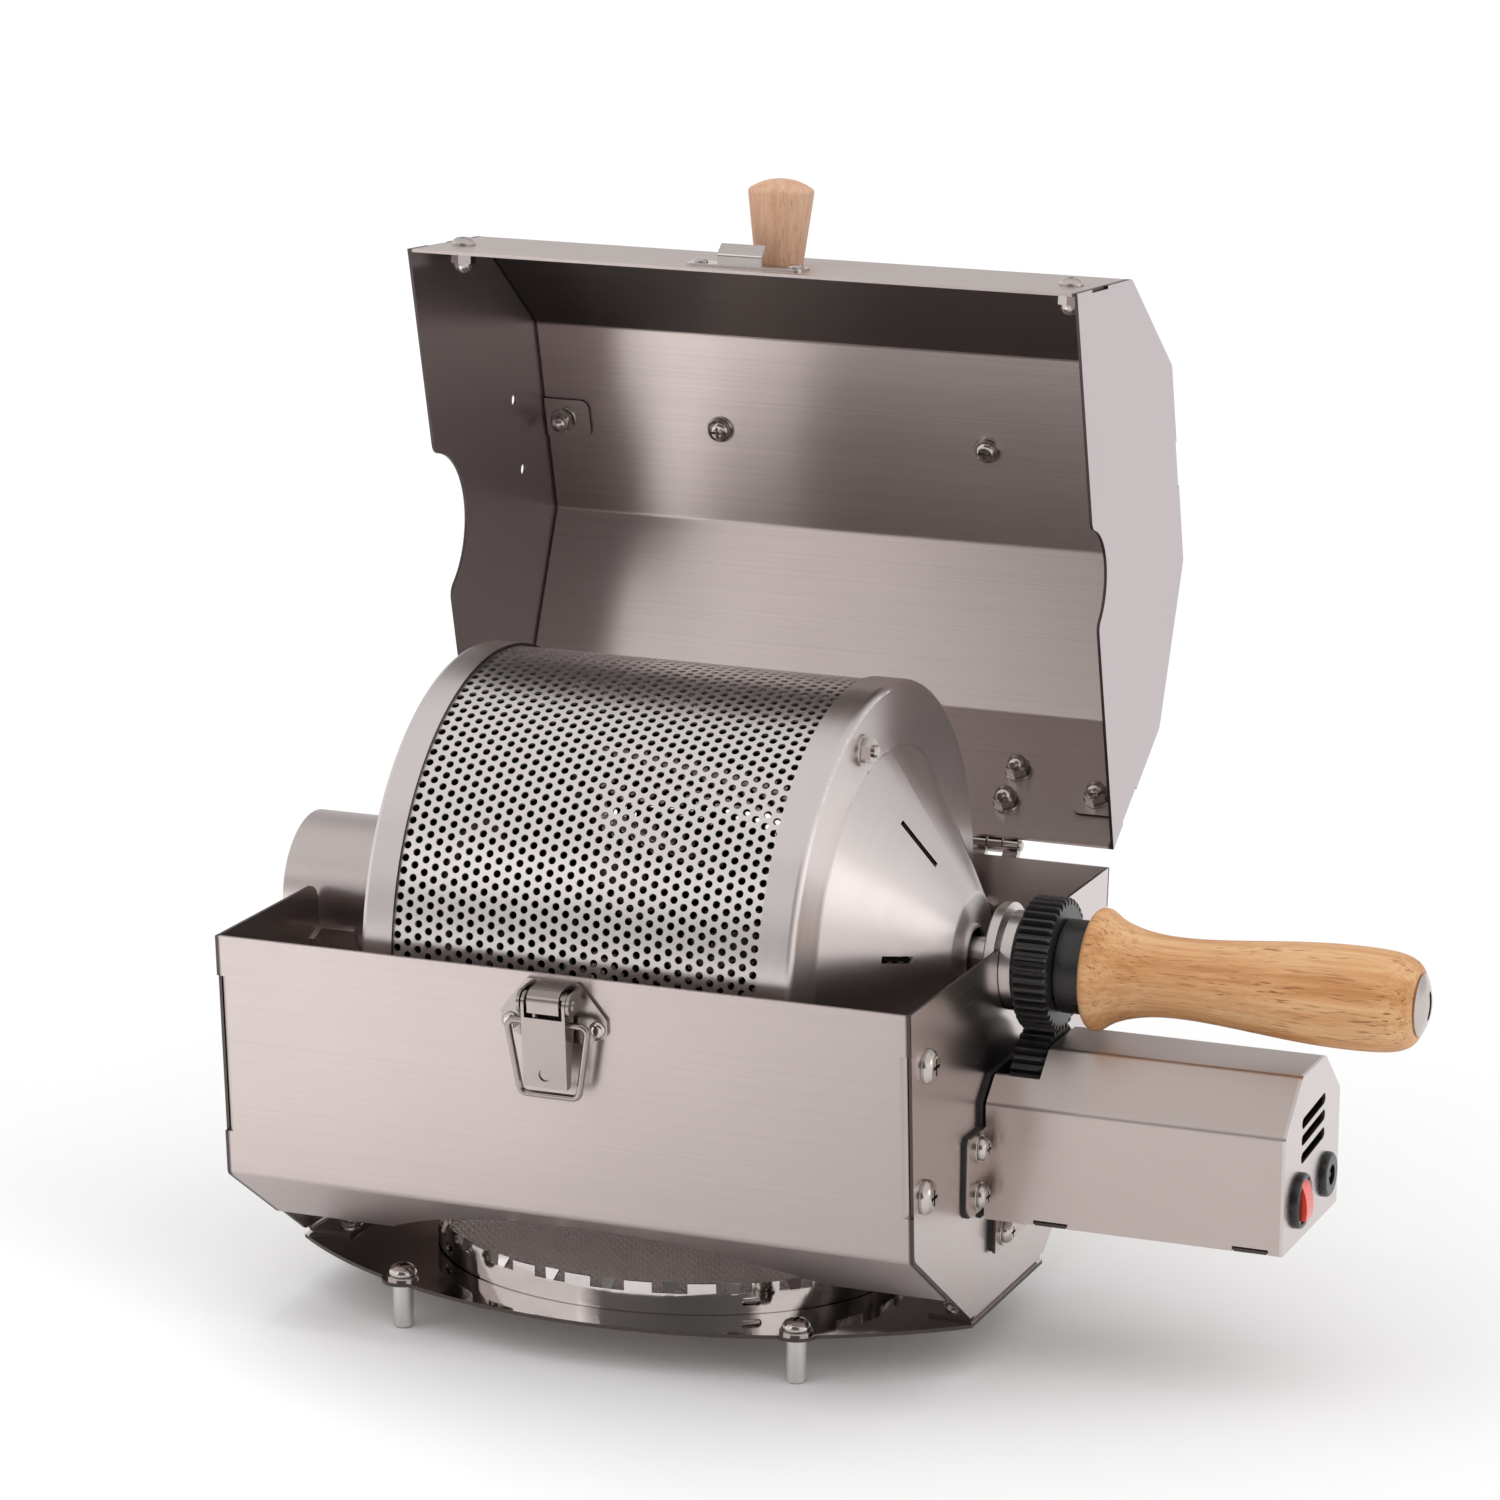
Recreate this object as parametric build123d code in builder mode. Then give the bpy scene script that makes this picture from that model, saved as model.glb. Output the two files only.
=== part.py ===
from build123d import *
import math
import os

os.makedirs("parts", exist_ok=True)

# ---------------------------------------------------------------- dimensions
# Millimetres. X runs along the drum axis towards the wooden handle, Y to the
# rear, Z up. The origin is the centre of the four locating pegs, at their tips.

T = 1.0                  # sheet thickness
HL = 114.0               # half length of the housing
HW = 94.8                # half depth of the housing at its rim
LEAN = 6.5               # how far each long wall leans in from rim to fold
Z_TOP = 131.0            # rim of the lower housing
Z_BEND = 52.4            # where the long walls fold inwards
Z_PLATE = 16.0           # top face of the base plate
Y_FOOT = 33.5            # foot of the folded slope at the base plate
Z_LOW = 30.0             # where the long walls stop above the collar
Y_LOW = Y_FOOT + (Z_LOW - Z_PLATE) * (HW - LEAN - Y_FOOT) / (Z_BEND - Z_PLATE)
ARCH = (100.0, 79.5)     # half axes, in plan, of the arch cut from the foot of each long wall
BEND_R = 2.0             # inside bend radius

AX_Z = 124.2             # drum axis height
FL_Z0, FL_Z1 = 66.5, 118.0   # end flanges of the long walls
END_SCREW_Y = 79.0
END_SCREW_Z = (70.8, 111.5)
FOOT_SCREW = (104.0, 20.7)   # screws through the bottom flanges

PEG_X, PEG_Y, PEG_R = 66.5, 61.0, 3.25
PLATE_T = 1.2
PLATE_BOW = 78.5         # reach of the plate's curved long edges
HOLE = (74.0, 60.3)      # half axes of the oval heat inlet in the plate
COLLAR = (77.0, 63.3)    # outer face of the oval collar
COLLAR_STEP = 0.6        # how far the foot of the collar stands back
TAB_LEAN = math.radians(25)  # how far the collar's tabs are bent in
COLLAR_TOP = 25.6

NOTCH_L, NOTCH_R = 24.0, 12.0   # U notches of the end panels

# lid, described closed and then swung open about its hinge
HINGE_Y, HINGE_Z = 101.2, 133.2
LID_ANGLE = 75.0
LID = [(98.0, 131.7), (80.5, 184.8), (35.3, 219.6)]
HINGE_X = 73.0
HINGE_S = (14.6, 28.9)   # screws up the lid's rear wall
KNUCKLE_R, HINGE_PIN_R = 2.75, 1.25

# latch on the front wall
LATCH_Y, LATCH_Z = -101.0, 124.3
LATCH_RIVET = (14.2, 115.5)
BAIL_Z = 117.8
BAIL_WIRE_R = 1.05

# drum
DRUM_R = 82.35
SHAFT_R = 6.0
CONE_TIP = (100.3, 19.5)   # where the cone meets its flat end
CONE_FOOT = (72.0, 63.0)   # where it rises from the flat ring
BAND_R = 83.4
MAIN_VANES = (350.0, 110.0, 230.0)
SHORT_VANES = (50.0, 170.0, 290.0)
CONE_SCREWS = (110.2, 230.2, 350.2)
CONE_SCREW_R = 72.6

# gears
MODULE, TEETH = 1.0, 40
PINION_Z = AX_Z - MODULE * TEETH

# motor box
BOX_Y, BOX_Z0, BOX_Z1 = 29.8, 49.3, 86.5
BOX_TOP_Y, BOX_TOP_Z = 12.7, 101.3
BOX_X0, BOX_X1 = 115.9, 210.2
TAB_Y, TAB_Z0, TAB_Z1 = 44.5, 53.0, 78.6   # fixing tabs of the motor box
MOTOR_SCREWS = [(-35.8, 73.8), (-35.8, 58.6), (35.8, 73.8), (35.8, 58.6), (-11.0, 39.8), (11.0, 39.8)]
GEARBOX_Z = 77.2
SWITCH_Y, SWITCH_Z = -13.5, 62.5
JACK_Y, JACK_Z = 16.4, 62.1
ROCKER_X = 210.8
ROCKER_TILT = 9.0

# ------------------------------------------------------------------- helpers


def shifted(points, d):
    """The open polyline moved by d to its left, with mitred corners."""
    out = []
    n = len(points)
    for i in range(n):
        normals = []
        for a, b in ((i - 1, i), (i, i + 1)):
            if a < 0 or b >= n:
                continue
            ux, uy = points[b][0] - points[a][0], points[b][1] - points[a][1]
            m = math.hypot(ux, uy)
            normals.append((-uy / m, ux / m))
        nx = sum(v[0] for v in normals)
        ny = sum(v[1] for v in normals)
        k = d * len(normals) / (nx * nx + ny * ny) if len(normals) == 1 else 2 * d / (nx * nx + ny * ny)
        out.append((points[i][0] + nx * k, points[i][1] + ny * k))
    return out


def bent_sheet(points, thick, r_in):
    """Section of a folded sheet. The points follow one face, the sheet is on their left."""
    other = shifted(points, thick)
    count = len(points) - 2
    r_list = list(r_in) if isinstance(r_in, (list, tuple)) else [r_in] * count
    near, far = [], []
    for i in range(count):
        a, b, c = points[i], points[i + 1], points[i + 2]
        turn = (b[0] - a[0]) * (c[1] - b[1]) - (b[1] - a[1]) * (c[0] - b[0])
        near.append(r_list[i] + thick if turn > 0 else r_list[i])
        far.append(r_list[i] if turn > 0 else r_list[i] + thick)
    with BuildLine() as outline:
        one = FilletPolyline(*points, radius=near)
        two = FilletPolyline(*other, radius=far)
        Line(points[0], other[0])
        Line(points[-1], other[-1])
    make_face(outline.edges())


def turned(plane, points, arc=360.0):
    """Body of revolution about the plane's x axis. Points are (along, radius)."""
    with BuildSketch(plane) as profile:
        with BuildLine():
            Polyline(*points, close=True)
        make_face()
    revolve(profile.sketch, axis=Axis(plane.origin, plane.x_dir), revolution_arc=arc)


def along(origin, direction):
    """Plane whose x axis is the given direction, for turned pieces."""
    p = Plane(origin=origin, z_dir=direction)
    return Plane(origin=origin, x_dir=p.z_dir, z_dir=p.y_dir)


def drill(origin, direction, radius, depth):
    """Round hole centred on a point."""
    with Locations(Plane(origin=origin, z_dir=direction)):
        Cylinder(radius, depth, mode=Mode.SUBTRACT)


def pan_head(origin, direction, head_r, head_h, shank_r, shank_l, cross=True):
    """Pan head with its seat at origin, its shank going back along the direction."""
    plane = along(origin, direction)
    with BuildSketch(plane) as profile:
        with BuildLine():
            Polyline((head_h, 0), (-shank_l, 0), (-shank_l, shank_r * 0.8), (-shank_l + shank_r * 0.3, shank_r), (0, shank_r), (0, head_r * 0.97), (head_h * 0.12, head_r), (head_h * 0.3, head_r))
            ThreePointArc((head_h * 0.3, head_r), (head_h * 0.78, head_r * 0.8), (head_h, head_r * 0.38))
            Line((head_h, head_r * 0.38), (head_h, 0))
        make_face()
    revolve(profile.sketch, axis=Axis(plane.origin, plane.x_dir))
    if cross:
        top = Plane(origin=origin, z_dir=direction).offset(head_h)
        with Locations(top):
            Box(head_r * 0.98, head_r * 0.21, head_h * 1.1, mode=Mode.SUBTRACT)
            Box(head_r * 0.21, head_r * 0.98, head_h * 1.1, mode=Mode.SUBTRACT)


def dome_mid(a, b):
    """Point half-way along the round cap from a rim (along, radius) to its tip on the axis."""
    c = 0.5 * (a[0] + b[0] - a[1] ** 2 / (b[0] - a[0]))
    r = b[0] - c
    half = 0.5 * math.atan2(a[1], a[0] - c)
    return (c + r * math.cos(half), r * math.sin(half))


def washer(origin, direction, radius, bore, thick):
    turned(along(origin, direction), [(0, bore), (thick, bore), (thick, radius - 0.15), (thick - 0.15, radius), (0, radius)])


def hex_nut(origin, direction, flats, height, bore):
    """Hexagon nut with its seat at origin."""
    with BuildSketch(Plane(origin=origin, z_dir=direction)) as profile:
        RegularPolygon(flats / 2, 6, major_radius=False)
        Circle(bore, mode=Mode.SUBTRACT)
    extrude(profile.sketch, amount=height)


def acorn_nut(origin, direction, flats, bore):
    """Washer and domed nut with their seat at origin."""
    seat = tuple(o + 0.85 * v for o, v in zip(origin, direction))
    washer(origin, direction, 4.5, bore + 0.05, 0.8)
    with BuildSketch(Plane(origin=seat, z_dir=direction)) as hexagon:
        RegularPolygon(flats / 2, 6, major_radius=False)
    extrude(hexagon.sketch, amount=2.9)
    with BuildSketch(along(seat, direction)) as dome:
        with BuildLine():
            Polyline((6.4, 0), (2.4, 0), (2.4, 3.25), (3.5, 3.25))
            ThreePointArc((3.5, 3.25), dome_mid((3.5, 3.25), (6.4, 0)), (6.4, 0))
        make_face()
    revolve(dome.sketch, axis=Axis(seat, direction))
    drill(seat, direction, bore, 9.8)


def oval(a, b, count, start=0.0):
    """Points spread evenly along an oval, each with the heading of its outward normal."""
    steps = 7200
    angle = [2 * math.pi * i / steps for i in range(steps + 1)]
    run = [0.0]
    for i in range(steps):
        run.append(run[-1] + math.hypot(a * (math.cos(angle[i + 1]) - math.cos(angle[i])), b * (math.sin(angle[i + 1]) - math.sin(angle[i]))))
    out, j = [], 0
    for k in range(count):
        goal = run[-1] * (k + start) / count
        while run[j + 1] < goal:
            j += 1
        t = angle[j]
        out.append((a * math.cos(t), b * math.sin(t), math.degrees(math.atan2(a * math.sin(t), b * math.cos(t)))))
    return out


def write(piece, name):
    piece.part.label = name
    export_step(piece.part, f"parts/{name}.step")


AXIS = Plane(origin=(0, 0, AX_Z), x_dir=(1, 0, 0), z_dir=(0, -1, 0))
UPRIGHT = Plane(origin=(0, 0, 0), x_dir=(0, 0, 1), z_dir=(0, 1, 0))
SIDES = (-1, 1)


def polar(x, r, degrees):
    """Point at a radius about the drum axis, angle from the rear towards the top."""
    a = math.radians(degrees)
    return (x, r * math.cos(a), AX_Z + r * math.sin(a))


_c, _s = math.cos(math.radians(LID_ANGLE)), math.sin(math.radians(LID_ANGLE))


def lid_pt(x, y, z):
    """A point of the closed lid where the open lid has it."""
    dy, dz = y - HINGE_Y, z - HINGE_Z
    return (x, HINGE_Y + dy * _c + dz * _s, HINGE_Z - dy * _s + dz * _c)


def lid_dir(x, y, z):
    return (x, y * _c + z * _s, -y * _s + z * _c)


def lid_section(x):
    """Cross-section of the open lid, drawn in the closed lid's Y and Z."""
    return Plane(origin=lid_pt(x, 0, 0), x_dir=lid_dir(0, 1, 0), z_dir=(1, 0, 0))


# The long walls lean. Pieces on them are drawn as if the wall were upright and
# then tipped about its rim.
_lean = math.atan2(LEAN, Z_TOP - Z_BEND)


def fw_dir(x, y, z):
    return (x, y * math.cos(_lean) - z * math.sin(_lean), y * math.sin(_lean) + z * math.cos(_lean))


def fw_pt(x, y, z):
    d = fw_dir(x, y + HW, z - Z_TOP)
    return (d[0], d[1] - HW, d[2] + Z_TOP)


def rw_dir(x, y, z):
    d = fw_dir(x, -y, z)
    return (d[0], -d[1], d[2])


def rw_pt(x, y, z):
    d = fw_pt(x, -y, z)
    return (d[0], -d[1], d[2])


def fw_section(x):
    return Plane(origin=fw_pt(x, 0, 0), x_dir=fw_dir(0, 1, 0), z_dir=(1, 0, 0))


FRONT = Plane(origin=fw_pt(0, -HW, 0), x_dir=(1, 0, 0), z_dir=fw_dir(0, -1, 0))

_m = math.hypot(LID[1][0] - LID[0][0], LID[1][1] - LID[0][1])
REAR_A = ((LID[1][0] - LID[0][0]) / _m, (LID[1][1] - LID[0][1]) / _m)
REAR_N = (REAR_A[1], -REAR_A[0])


def on_rear(s, n):
    """Closed Y and Z at s up the rear lid wall and n out of its face."""
    return (LID[0][0] + s * REAR_A[0] + n * REAR_N[0], LID[0][1] + s * REAR_A[1] + n * REAR_N[1])


def on_front(s, n):
    y, z = on_rear(s, n)
    return (-y, z)


REAR_OUT = lid_dir(0, REAR_N[0], REAR_N[1])
FRONT_OUT = lid_dir(0, -REAR_N[0], REAR_N[1])
TOP_OUT = lid_dir(0, 0, 1)


def rear_pt(x, s, n):
    return lid_pt(x, *on_rear(s, n))


def front_pt(x, s, n):
    return lid_pt(x, *on_front(s, n))


# ------------------------------------------------------------- lower housing

with BuildPart() as front_panel:
    with BuildSketch(Plane.YZ.offset(-HL)):
        bent_sheet([(-HW, Z_TOP), (-HW + LEAN, Z_BEND), (-Y_LOW, Z_LOW)], T, BEND_R)
    extrude(amount=2 * HL)
    for sx in SIDES:
        with Locations(Plane(origin=fw_pt(sx * (HL - 1.75), -HW + 0.5, (FL_Z0 + FL_Z1) / 2), x_dir=(1, 0, 0), z_dir=fw_dir(0, 0, 1))):
            Box(3.5, 3.0, FL_Z1 - FL_Z0, mode=Mode.SUBTRACT)
    with BuildSketch(Plane(origin=fw_pt(0, 0, FL_Z0), x_dir=(1, 0, 0), z_dir=fw_dir(0, 0, 1))):
        bent_sheet([(109.5, -HW), (HL - T, -HW), (HL - T, -70)], T, 1.5)
        bent_sheet([(-HL + T, -70), (-HL + T, -HW), (-109.5, -HW)], T, 1.5)
    extrude(amount=FL_Z1 - FL_Z0)
    for sx in SIDES:
        for z in END_SCREW_Z:
            drill((sx * (HL - T - 0.5), -END_SCREW_Y, z), (1, 0, 0), 2.65, 4)
        drill(fw_pt(sx * LATCH_RIVET[0], -HW + 0.5, LATCH_RIVET[1]), fw_dir(0, 1, 0), 1.55, 6)
    with BuildSketch(Plane.XY.offset(10)):
        Ellipse(*ARCH)
    extrude(amount=40, mode=Mode.SUBTRACT)
write(front_panel, "front_panel")

with BuildPart() as rear_panel:
    with BuildSketch(Plane.YZ.offset(-HL)):
        bent_sheet([(Y_LOW, Z_LOW), (HW - LEAN, Z_BEND), (HW, Z_TOP)], T, BEND_R)
    extrude(amount=2 * HL)
    for sx in SIDES:
        with Locations(Plane(origin=rw_pt(sx * (HL - 1.75), HW - 0.5, (FL_Z0 + FL_Z1) / 2), x_dir=(1, 0, 0), z_dir=rw_dir(0, 0, 1))):
            Box(3.5, 3.0, FL_Z1 - FL_Z0, mode=Mode.SUBTRACT)
    with BuildSketch(Plane(origin=rw_pt(0, 0, FL_Z0), x_dir=(1, 0, 0), z_dir=rw_dir(0, 0, 1))):
        bent_sheet([(HL - T, 70), (HL - T, HW), (109.5, HW)], T, 1.5)
        bent_sheet([(-109.5, HW), (-HL + T, HW), (-HL + T, 70)], T, 1.5)
    extrude(amount=FL_Z1 - FL_Z0)
    for sx in SIDES:
        for z in END_SCREW_Z:
            drill((sx * (HL - T - 0.5), END_SCREW_Y, z), (1, 0, 0), 2.65, 4)
        for z in (98.0, 113.0):
            drill(rw_pt(sx * HINGE_X, HW - 0.5, z), rw_dir(0, 1, 0), 2.1, 6)
    with BuildSketch(Plane.XY.offset(10)):
        Ellipse(*ARCH)
    extrude(amount=40, mode=Mode.SUBTRACT)
write(rear_panel, "rear_panel")

# end panels lie inside the long walls' fold line
_half = shifted([(Y_FOOT, Z_PLATE), (HW - LEAN, Z_BEND), (HW, Z_TOP)], T + 0.1)


def _at(a, b, z):
    return (a[0] + (b[0] - a[0]) * (z - a[1]) / (b[1] - a[1]), z)


END_Z0 = Z_PLATE + 2.3   # top of the bend into the bottom flange
END_FOOT = _at(_half[0], _half[1], Z_PLATE)[0]
_half = [_at(_half[0], _half[1], END_Z0), _half[1], _at(_half[1], _half[2], Z_TOP)]
END_OUTLINE = _half + [(-y, z) for y, z in reversed(_half)]

with BuildPart() as right_end_panel:
    with BuildSketch(Plane.YZ.offset(HL - T)) as right_outline:
        with BuildLine():
            FilletPolyline(*END_OUTLINE, radius=[0, 3.2, 0, 0, 3.2, 0], close=True)
        make_face()
        with Locations((0, AX_Z)):
            Circle(NOTCH_R, mode=Mode.SUBTRACT)
        with Locations((0, AX_Z + 10)):
            Rectangle(2 * NOTCH_R, 20, mode=Mode.SUBTRACT)
        fillet([v for v in right_outline.vertices() if abs(v.Y - Z_TOP) < 0.01 and abs(v.X) < NOTCH_R + 0.1], 3.0)
    extrude(amount=T)
    with BuildSketch(Plane.XZ.offset(-END_FOOT)):
        bent_sheet([(HL - 15, Z_PLATE), (HL, Z_PLATE), (HL, Z_PLATE + 4)], T, 1.2)
    extrude(amount=2 * END_FOOT)
    for sy in SIDES:
        for z in END_SCREW_Z:
            drill((HL - 0.5, sy * END_SCREW_Y, z), (1, 0, 0), 2.65, 4)
        drill((FOOT_SCREW[0], sy * FOOT_SCREW[1], Z_PLATE), (0, 0, 1), 2.1, 4)
    for y, z in MOTOR_SCREWS:
        drill((HL - 0.5, y, z), (1, 0, 0), 2.1, 4)
write(right_end_panel, "right_end_panel")

with BuildPart() as left_end_panel:
    with BuildSketch(Plane.YZ.offset(-HL)) as left_outline:
        with BuildLine():
            FilletPolyline(*END_OUTLINE, radius=[0, 3.2, 0, 0, 3.2, 0], close=True)
        make_face()
        with Locations((0, AX_Z)):
            Circle(NOTCH_L, mode=Mode.SUBTRACT)
        with Locations((0, AX_Z + 10)):
            Rectangle(2 * NOTCH_L, 20, mode=Mode.SUBTRACT)
        fillet([v for v in left_outline.vertices() if abs(v.Y - Z_TOP) < 0.01 and abs(v.X) < NOTCH_L + 0.1], 6.0)
    extrude(amount=T)
    with BuildSketch(Plane.XZ.offset(-END_FOOT)):
        bent_sheet([(-HL, Z_PLATE + 4), (-HL, Z_PLATE), (-HL + 15, Z_PLATE)], T, 1.2)
    extrude(amount=2 * END_FOOT)
    for sy in SIDES:
        for z in END_SCREW_Z:
            drill((-HL + 0.5, sy * END_SCREW_Y, z), (1, 0, 0), 2.65, 4)
        drill((-FOOT_SCREW[0], sy * FOOT_SCREW[1], Z_PLATE), (0, 0, 1), 2.1, 4)
    for a in (240, 300):
        drill(polar(-HL + 0.5, 28, a), (1, 0, 0), 1.55, 4)
write(left_end_panel, "left_end_panel")

with BuildPart() as tube_saddle:
    _a = math.radians(200)
    turned(
        Plane(origin=(0, 0, AX_Z), x_dir=(1, 0, 0), z_dir=(0, -math.sin(_a), math.cos(_a))),
        [(-HL + T, 23.56), (-101, 23.56), (-101, 24.76), (-HL + 2 * T, 24.76), (-HL + 2 * T, 31), (-HL + T, 31)],
        arc=140,
    )
    for a in (240, 300):
        drill(polar(-HL + 1.5 * T, 28, a), (1, 0, 0), 1.55, 4)
write(tube_saddle, "tube_saddle")

with BuildPart() as shaft_bush:
    turned(AXIS, [(109.4, SHAFT_R + 0.05), (109.4, 17.2), (110.0, 17.8), (112.8, 17.8), (112.8, 11.9), (114.2, 11.9), (114.2, 15.6), (117.7, 15.6), (118.2, 15.1), (118.2, SHAFT_R + 0.05)])
write(shaft_bush, "shaft_bush")

with BuildPart() as base_plate:
    with BuildSketch(Plane.XY.offset(Z_PLATE - PLATE_T)):
        with BuildLine():
            Line((-HL, -34), (-HL, 34))
            ThreePointArc((-HL, 34), (0, PLATE_BOW), (HL, 34))
            Line((HL, 34), (HL, -34))
            ThreePointArc((HL, -34), (0, -PLATE_BOW), (-HL, -34))
        make_face()
        with Locations(*[(sx * PEG_X, sy * PEG_Y) for sx in SIDES for sy in SIDES]):
            Circle(6.8)
        Ellipse(*HOLE, mode=Mode.SUBTRACT)
        with Locations(*[(sx * PEG_X, sy * PEG_Y) for sx in SIDES for sy in SIDES]):
            Circle(2.1, mode=Mode.SUBTRACT)
        with Locations(*[(sx * FOOT_SCREW[0], sy * FOOT_SCREW[1]) for sx in SIDES for sy in SIDES]):
            Circle(2.1, mode=Mode.SUBTRACT)
    extrude(amount=PLATE_T)
write(base_plate, "base_plate")

with BuildPart() as burner_collar:
    with BuildSketch(Plane.XY.offset(Z_PLATE)):
        Ellipse(COLLAR[0] - COLLAR_STEP, COLLAR[1] - COLLAR_STEP)
        Ellipse(HOLE[0] + 0.5, HOLE[1] + 0.5, mode=Mode.SUBTRACT)
    extrude(amount=1.0)
    with BuildSketch(Plane.XY.offset(Z_PLATE + 0.7)):
        Ellipse(*COLLAR)
        Ellipse(COLLAR[0] - 1.0, COLLAR[1] - 1.0, mode=Mode.SUBTRACT)
    extrude(amount=COLLAR_TOP - Z_PLATE - 0.7)
    _spots = oval(COLLAR[0] - 0.5, COLLAR[1] - 0.5, 22, 0.71)
    for x, y, heading in _spots:
        with Locations(Location((x, y, 22.3), (0, 0, heading))):
            Box(4, 11.2, 6, align=(Align.CENTER, Align.CENTER, Align.MIN), mode=Mode.SUBTRACT)
    for x, y, heading in _spots:
        tab_x, tab_y = math.cos(math.radians(heading)), math.sin(math.radians(heading))
        with BuildSketch(Plane(origin=(x, y, 22.1), x_dir=(-tab_y, tab_x, 0), z_dir=(tab_x * math.cos(TAB_LEAN), tab_y * math.cos(TAB_LEAN), math.sin(TAB_LEAN)))):
            Polygon((-1.2, -0.4), (1.2, -0.4), (2.5, 3.5), (-2.5, 3.5), align=None)
        extrude(amount=0.4, both=True)
    for a in (-52, 38, 128, 218):
        _a = math.radians(a)
        _n = math.atan2(COLLAR[0] * math.sin(_a), COLLAR[1] * math.cos(_a))
        with BuildSketch(Plane(origin=(COLLAR[0] * math.cos(_a), COLLAR[1] * math.sin(_a), 19.6), x_dir=(-math.sin(_n), math.cos(_n), 0), z_dir=(math.cos(_n), math.sin(_n), 0))):
            SlotOverall(6.4, 3.0)
        extrude(amount=3, both=True, mode=Mode.SUBTRACT)
write(burner_collar, "burner_collar")

MESH = (COLLAR[0] - 1.3, COLLAR[1] - 1.3)
with BuildPart() as burner_mesh:
    with BuildSketch(Plane.XY.offset(20.4)):
        Ellipse(*MESH)
    extrude(amount=1.0)
    with BuildSketch(Plane.XY.offset(Z_PLATE + 1)):
        Ellipse(*MESH)
        Ellipse(MESH[0] - 1.0, MESH[1] - 1.0, mode=Mode.SUBTRACT)
    extrude(amount=20.4 - Z_PLATE - 1)
write(burner_mesh, "burner_mesh")

PEGS = [(sx * PEG_X, sy * PEG_Y) for sx in SIDES for sy in SIDES]

with BuildPart() as base_pegs:
    for x, y in PEGS:
        turned(Plane(origin=(x, y, 0), x_dir=(0, 0, 1), z_dir=(0, 1, 0)), [(0, 0), (0, PEG_R - 0.5), (0.5, PEG_R), (Z_PLATE - PLATE_T, PEG_R), (Z_PLATE - PLATE_T, 2.0), (10.8, 2.0), (10.8, 0)])
write(base_pegs, "base_pegs")

with BuildPart() as peg_screws:
    for x, y in PEGS:
        washer((x, y, Z_PLATE), (0, 0, 1), 5.3, 2.05, 0.9)
        pan_head((x, y, Z_PLATE + 0.95), (0, 0, 1), 4.5, 3.3, 1.95, 5.7)
write(peg_screws, "peg_screws")

FOOT_SCREWS = [(sx * FOOT_SCREW[0], sy * FOOT_SCREW[1]) for sx in SIDES for sy in SIDES]

with BuildPart() as panel_screws:
    for sx in SIDES:
        for sy in SIDES:
            for z in END_SCREW_Z:
                pan_head((sx * HL, sy * END_SCREW_Y, z), (sx, 0, 0), 5.4, 3.1, 2.5, 8.0)
    for x, y in FOOT_SCREWS:
        pan_head((x, y, Z_PLATE + T), (0, 0, 1), 3.8, 2.6, 1.95, 6.2)
write(panel_screws, "panel_screws")

with BuildPart() as housing_nuts:
    for sx in SIDES:
        for sy in SIDES:
            for z in END_SCREW_Z:
                hex_nut((sx * (HL - 2 * T), sy * END_SCREW_Y, z), (-sx, 0, 0), 8.0, 4.0, 2.55)
        for z in (98.0, 113.0):
            hex_nut(rw_pt(sx * HINGE_X, HW - T, z), rw_dir(0, -1, 0), 7.0, 3.2, 2.0)
    for x, y in FOOT_SCREWS:
        hex_nut((x, y, Z_PLATE - PLATE_T), (0, 0, -1), 7.0, 3.2, 2.0)
    for y, z in MOTOR_SCREWS:
        hex_nut((HL - T, y, z), (-1, 0, 0), 7.0, 3.2, 2.0)
write(housing_nuts, "housing_nuts")

# ---------------------------------------------------------------- front latch

with BuildPart() as latch_base:
    with BuildSketch(FRONT):
        with BuildLine():
            FilletPolyline((-8.6, 129.7), (8.6, 129.7), (17.4, 118.7), (17.4, 113.3), (9.5, 110.3), (-9.5, 110.3), (-17.4, 113.3), (-17.4, 118.7), radius=2.0, close=True)
        make_face()
        with Locations((-LATCH_RIVET[0], LATCH_RIVET[1]), LATCH_RIVET):
            Circle(1.55, mode=Mode.SUBTRACT)
    extrude(amount=1.2)
    for x in (-8.6, 7.6):
        with BuildSketch(fw_section(x)):
            with Locations(((-HW - 0.6 + LATCH_Y) / 2, LATCH_Z)):
                Rectangle(-HW - 0.6 - LATCH_Y, 7.2)
            with Locations((LATCH_Y, LATCH_Z)):
                Circle(3.6)
                Circle(1.25, mode=Mode.SUBTRACT)
        extrude(amount=1.0)
    with BuildSketch(fw_section(-5.2)):
        bent_sheet([(-HW - 0.6, 128.5), (-104.2, 128.5), (-104.2, 121.7)], 1.0, 2.6)
    extrude(amount=10.4)
write(latch_base, "latch_base")

with BuildPart() as latch_pin:
    turned(Plane(origin=fw_pt(0, LATCH_Y, LATCH_Z), x_dir=(1, 0, 0), z_dir=fw_dir(0, -1, 0)), [(-9.4, 0), (-9.4, 1.5), (-8.7, 1.9), (-8.6, 1.2), (8.6, 1.2), (8.7, 1.9), (9.4, 1.5), (9.4, 0)])
write(latch_pin, "latch_pin")

with BuildPart() as housing_rivets:
    for sx in SIDES:
        pan_head(fw_pt(sx * LATCH_RIVET[0], -HW - 1.2, LATCH_RIVET[1]), fw_dir(0, -1, 0), 2.6, 1.4, 1.5, 3.2, cross=False)
    for a in (240, 300):
        pan_head(polar(-HL, 28, a), (-1, 0, 0), 2.4, 1.2, 1.5, 3.0, cross=False)
write(housing_rivets, "housing_rivets")

LEVER_Z0, LEVER_Z1 = 98.0, 120.1

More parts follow.
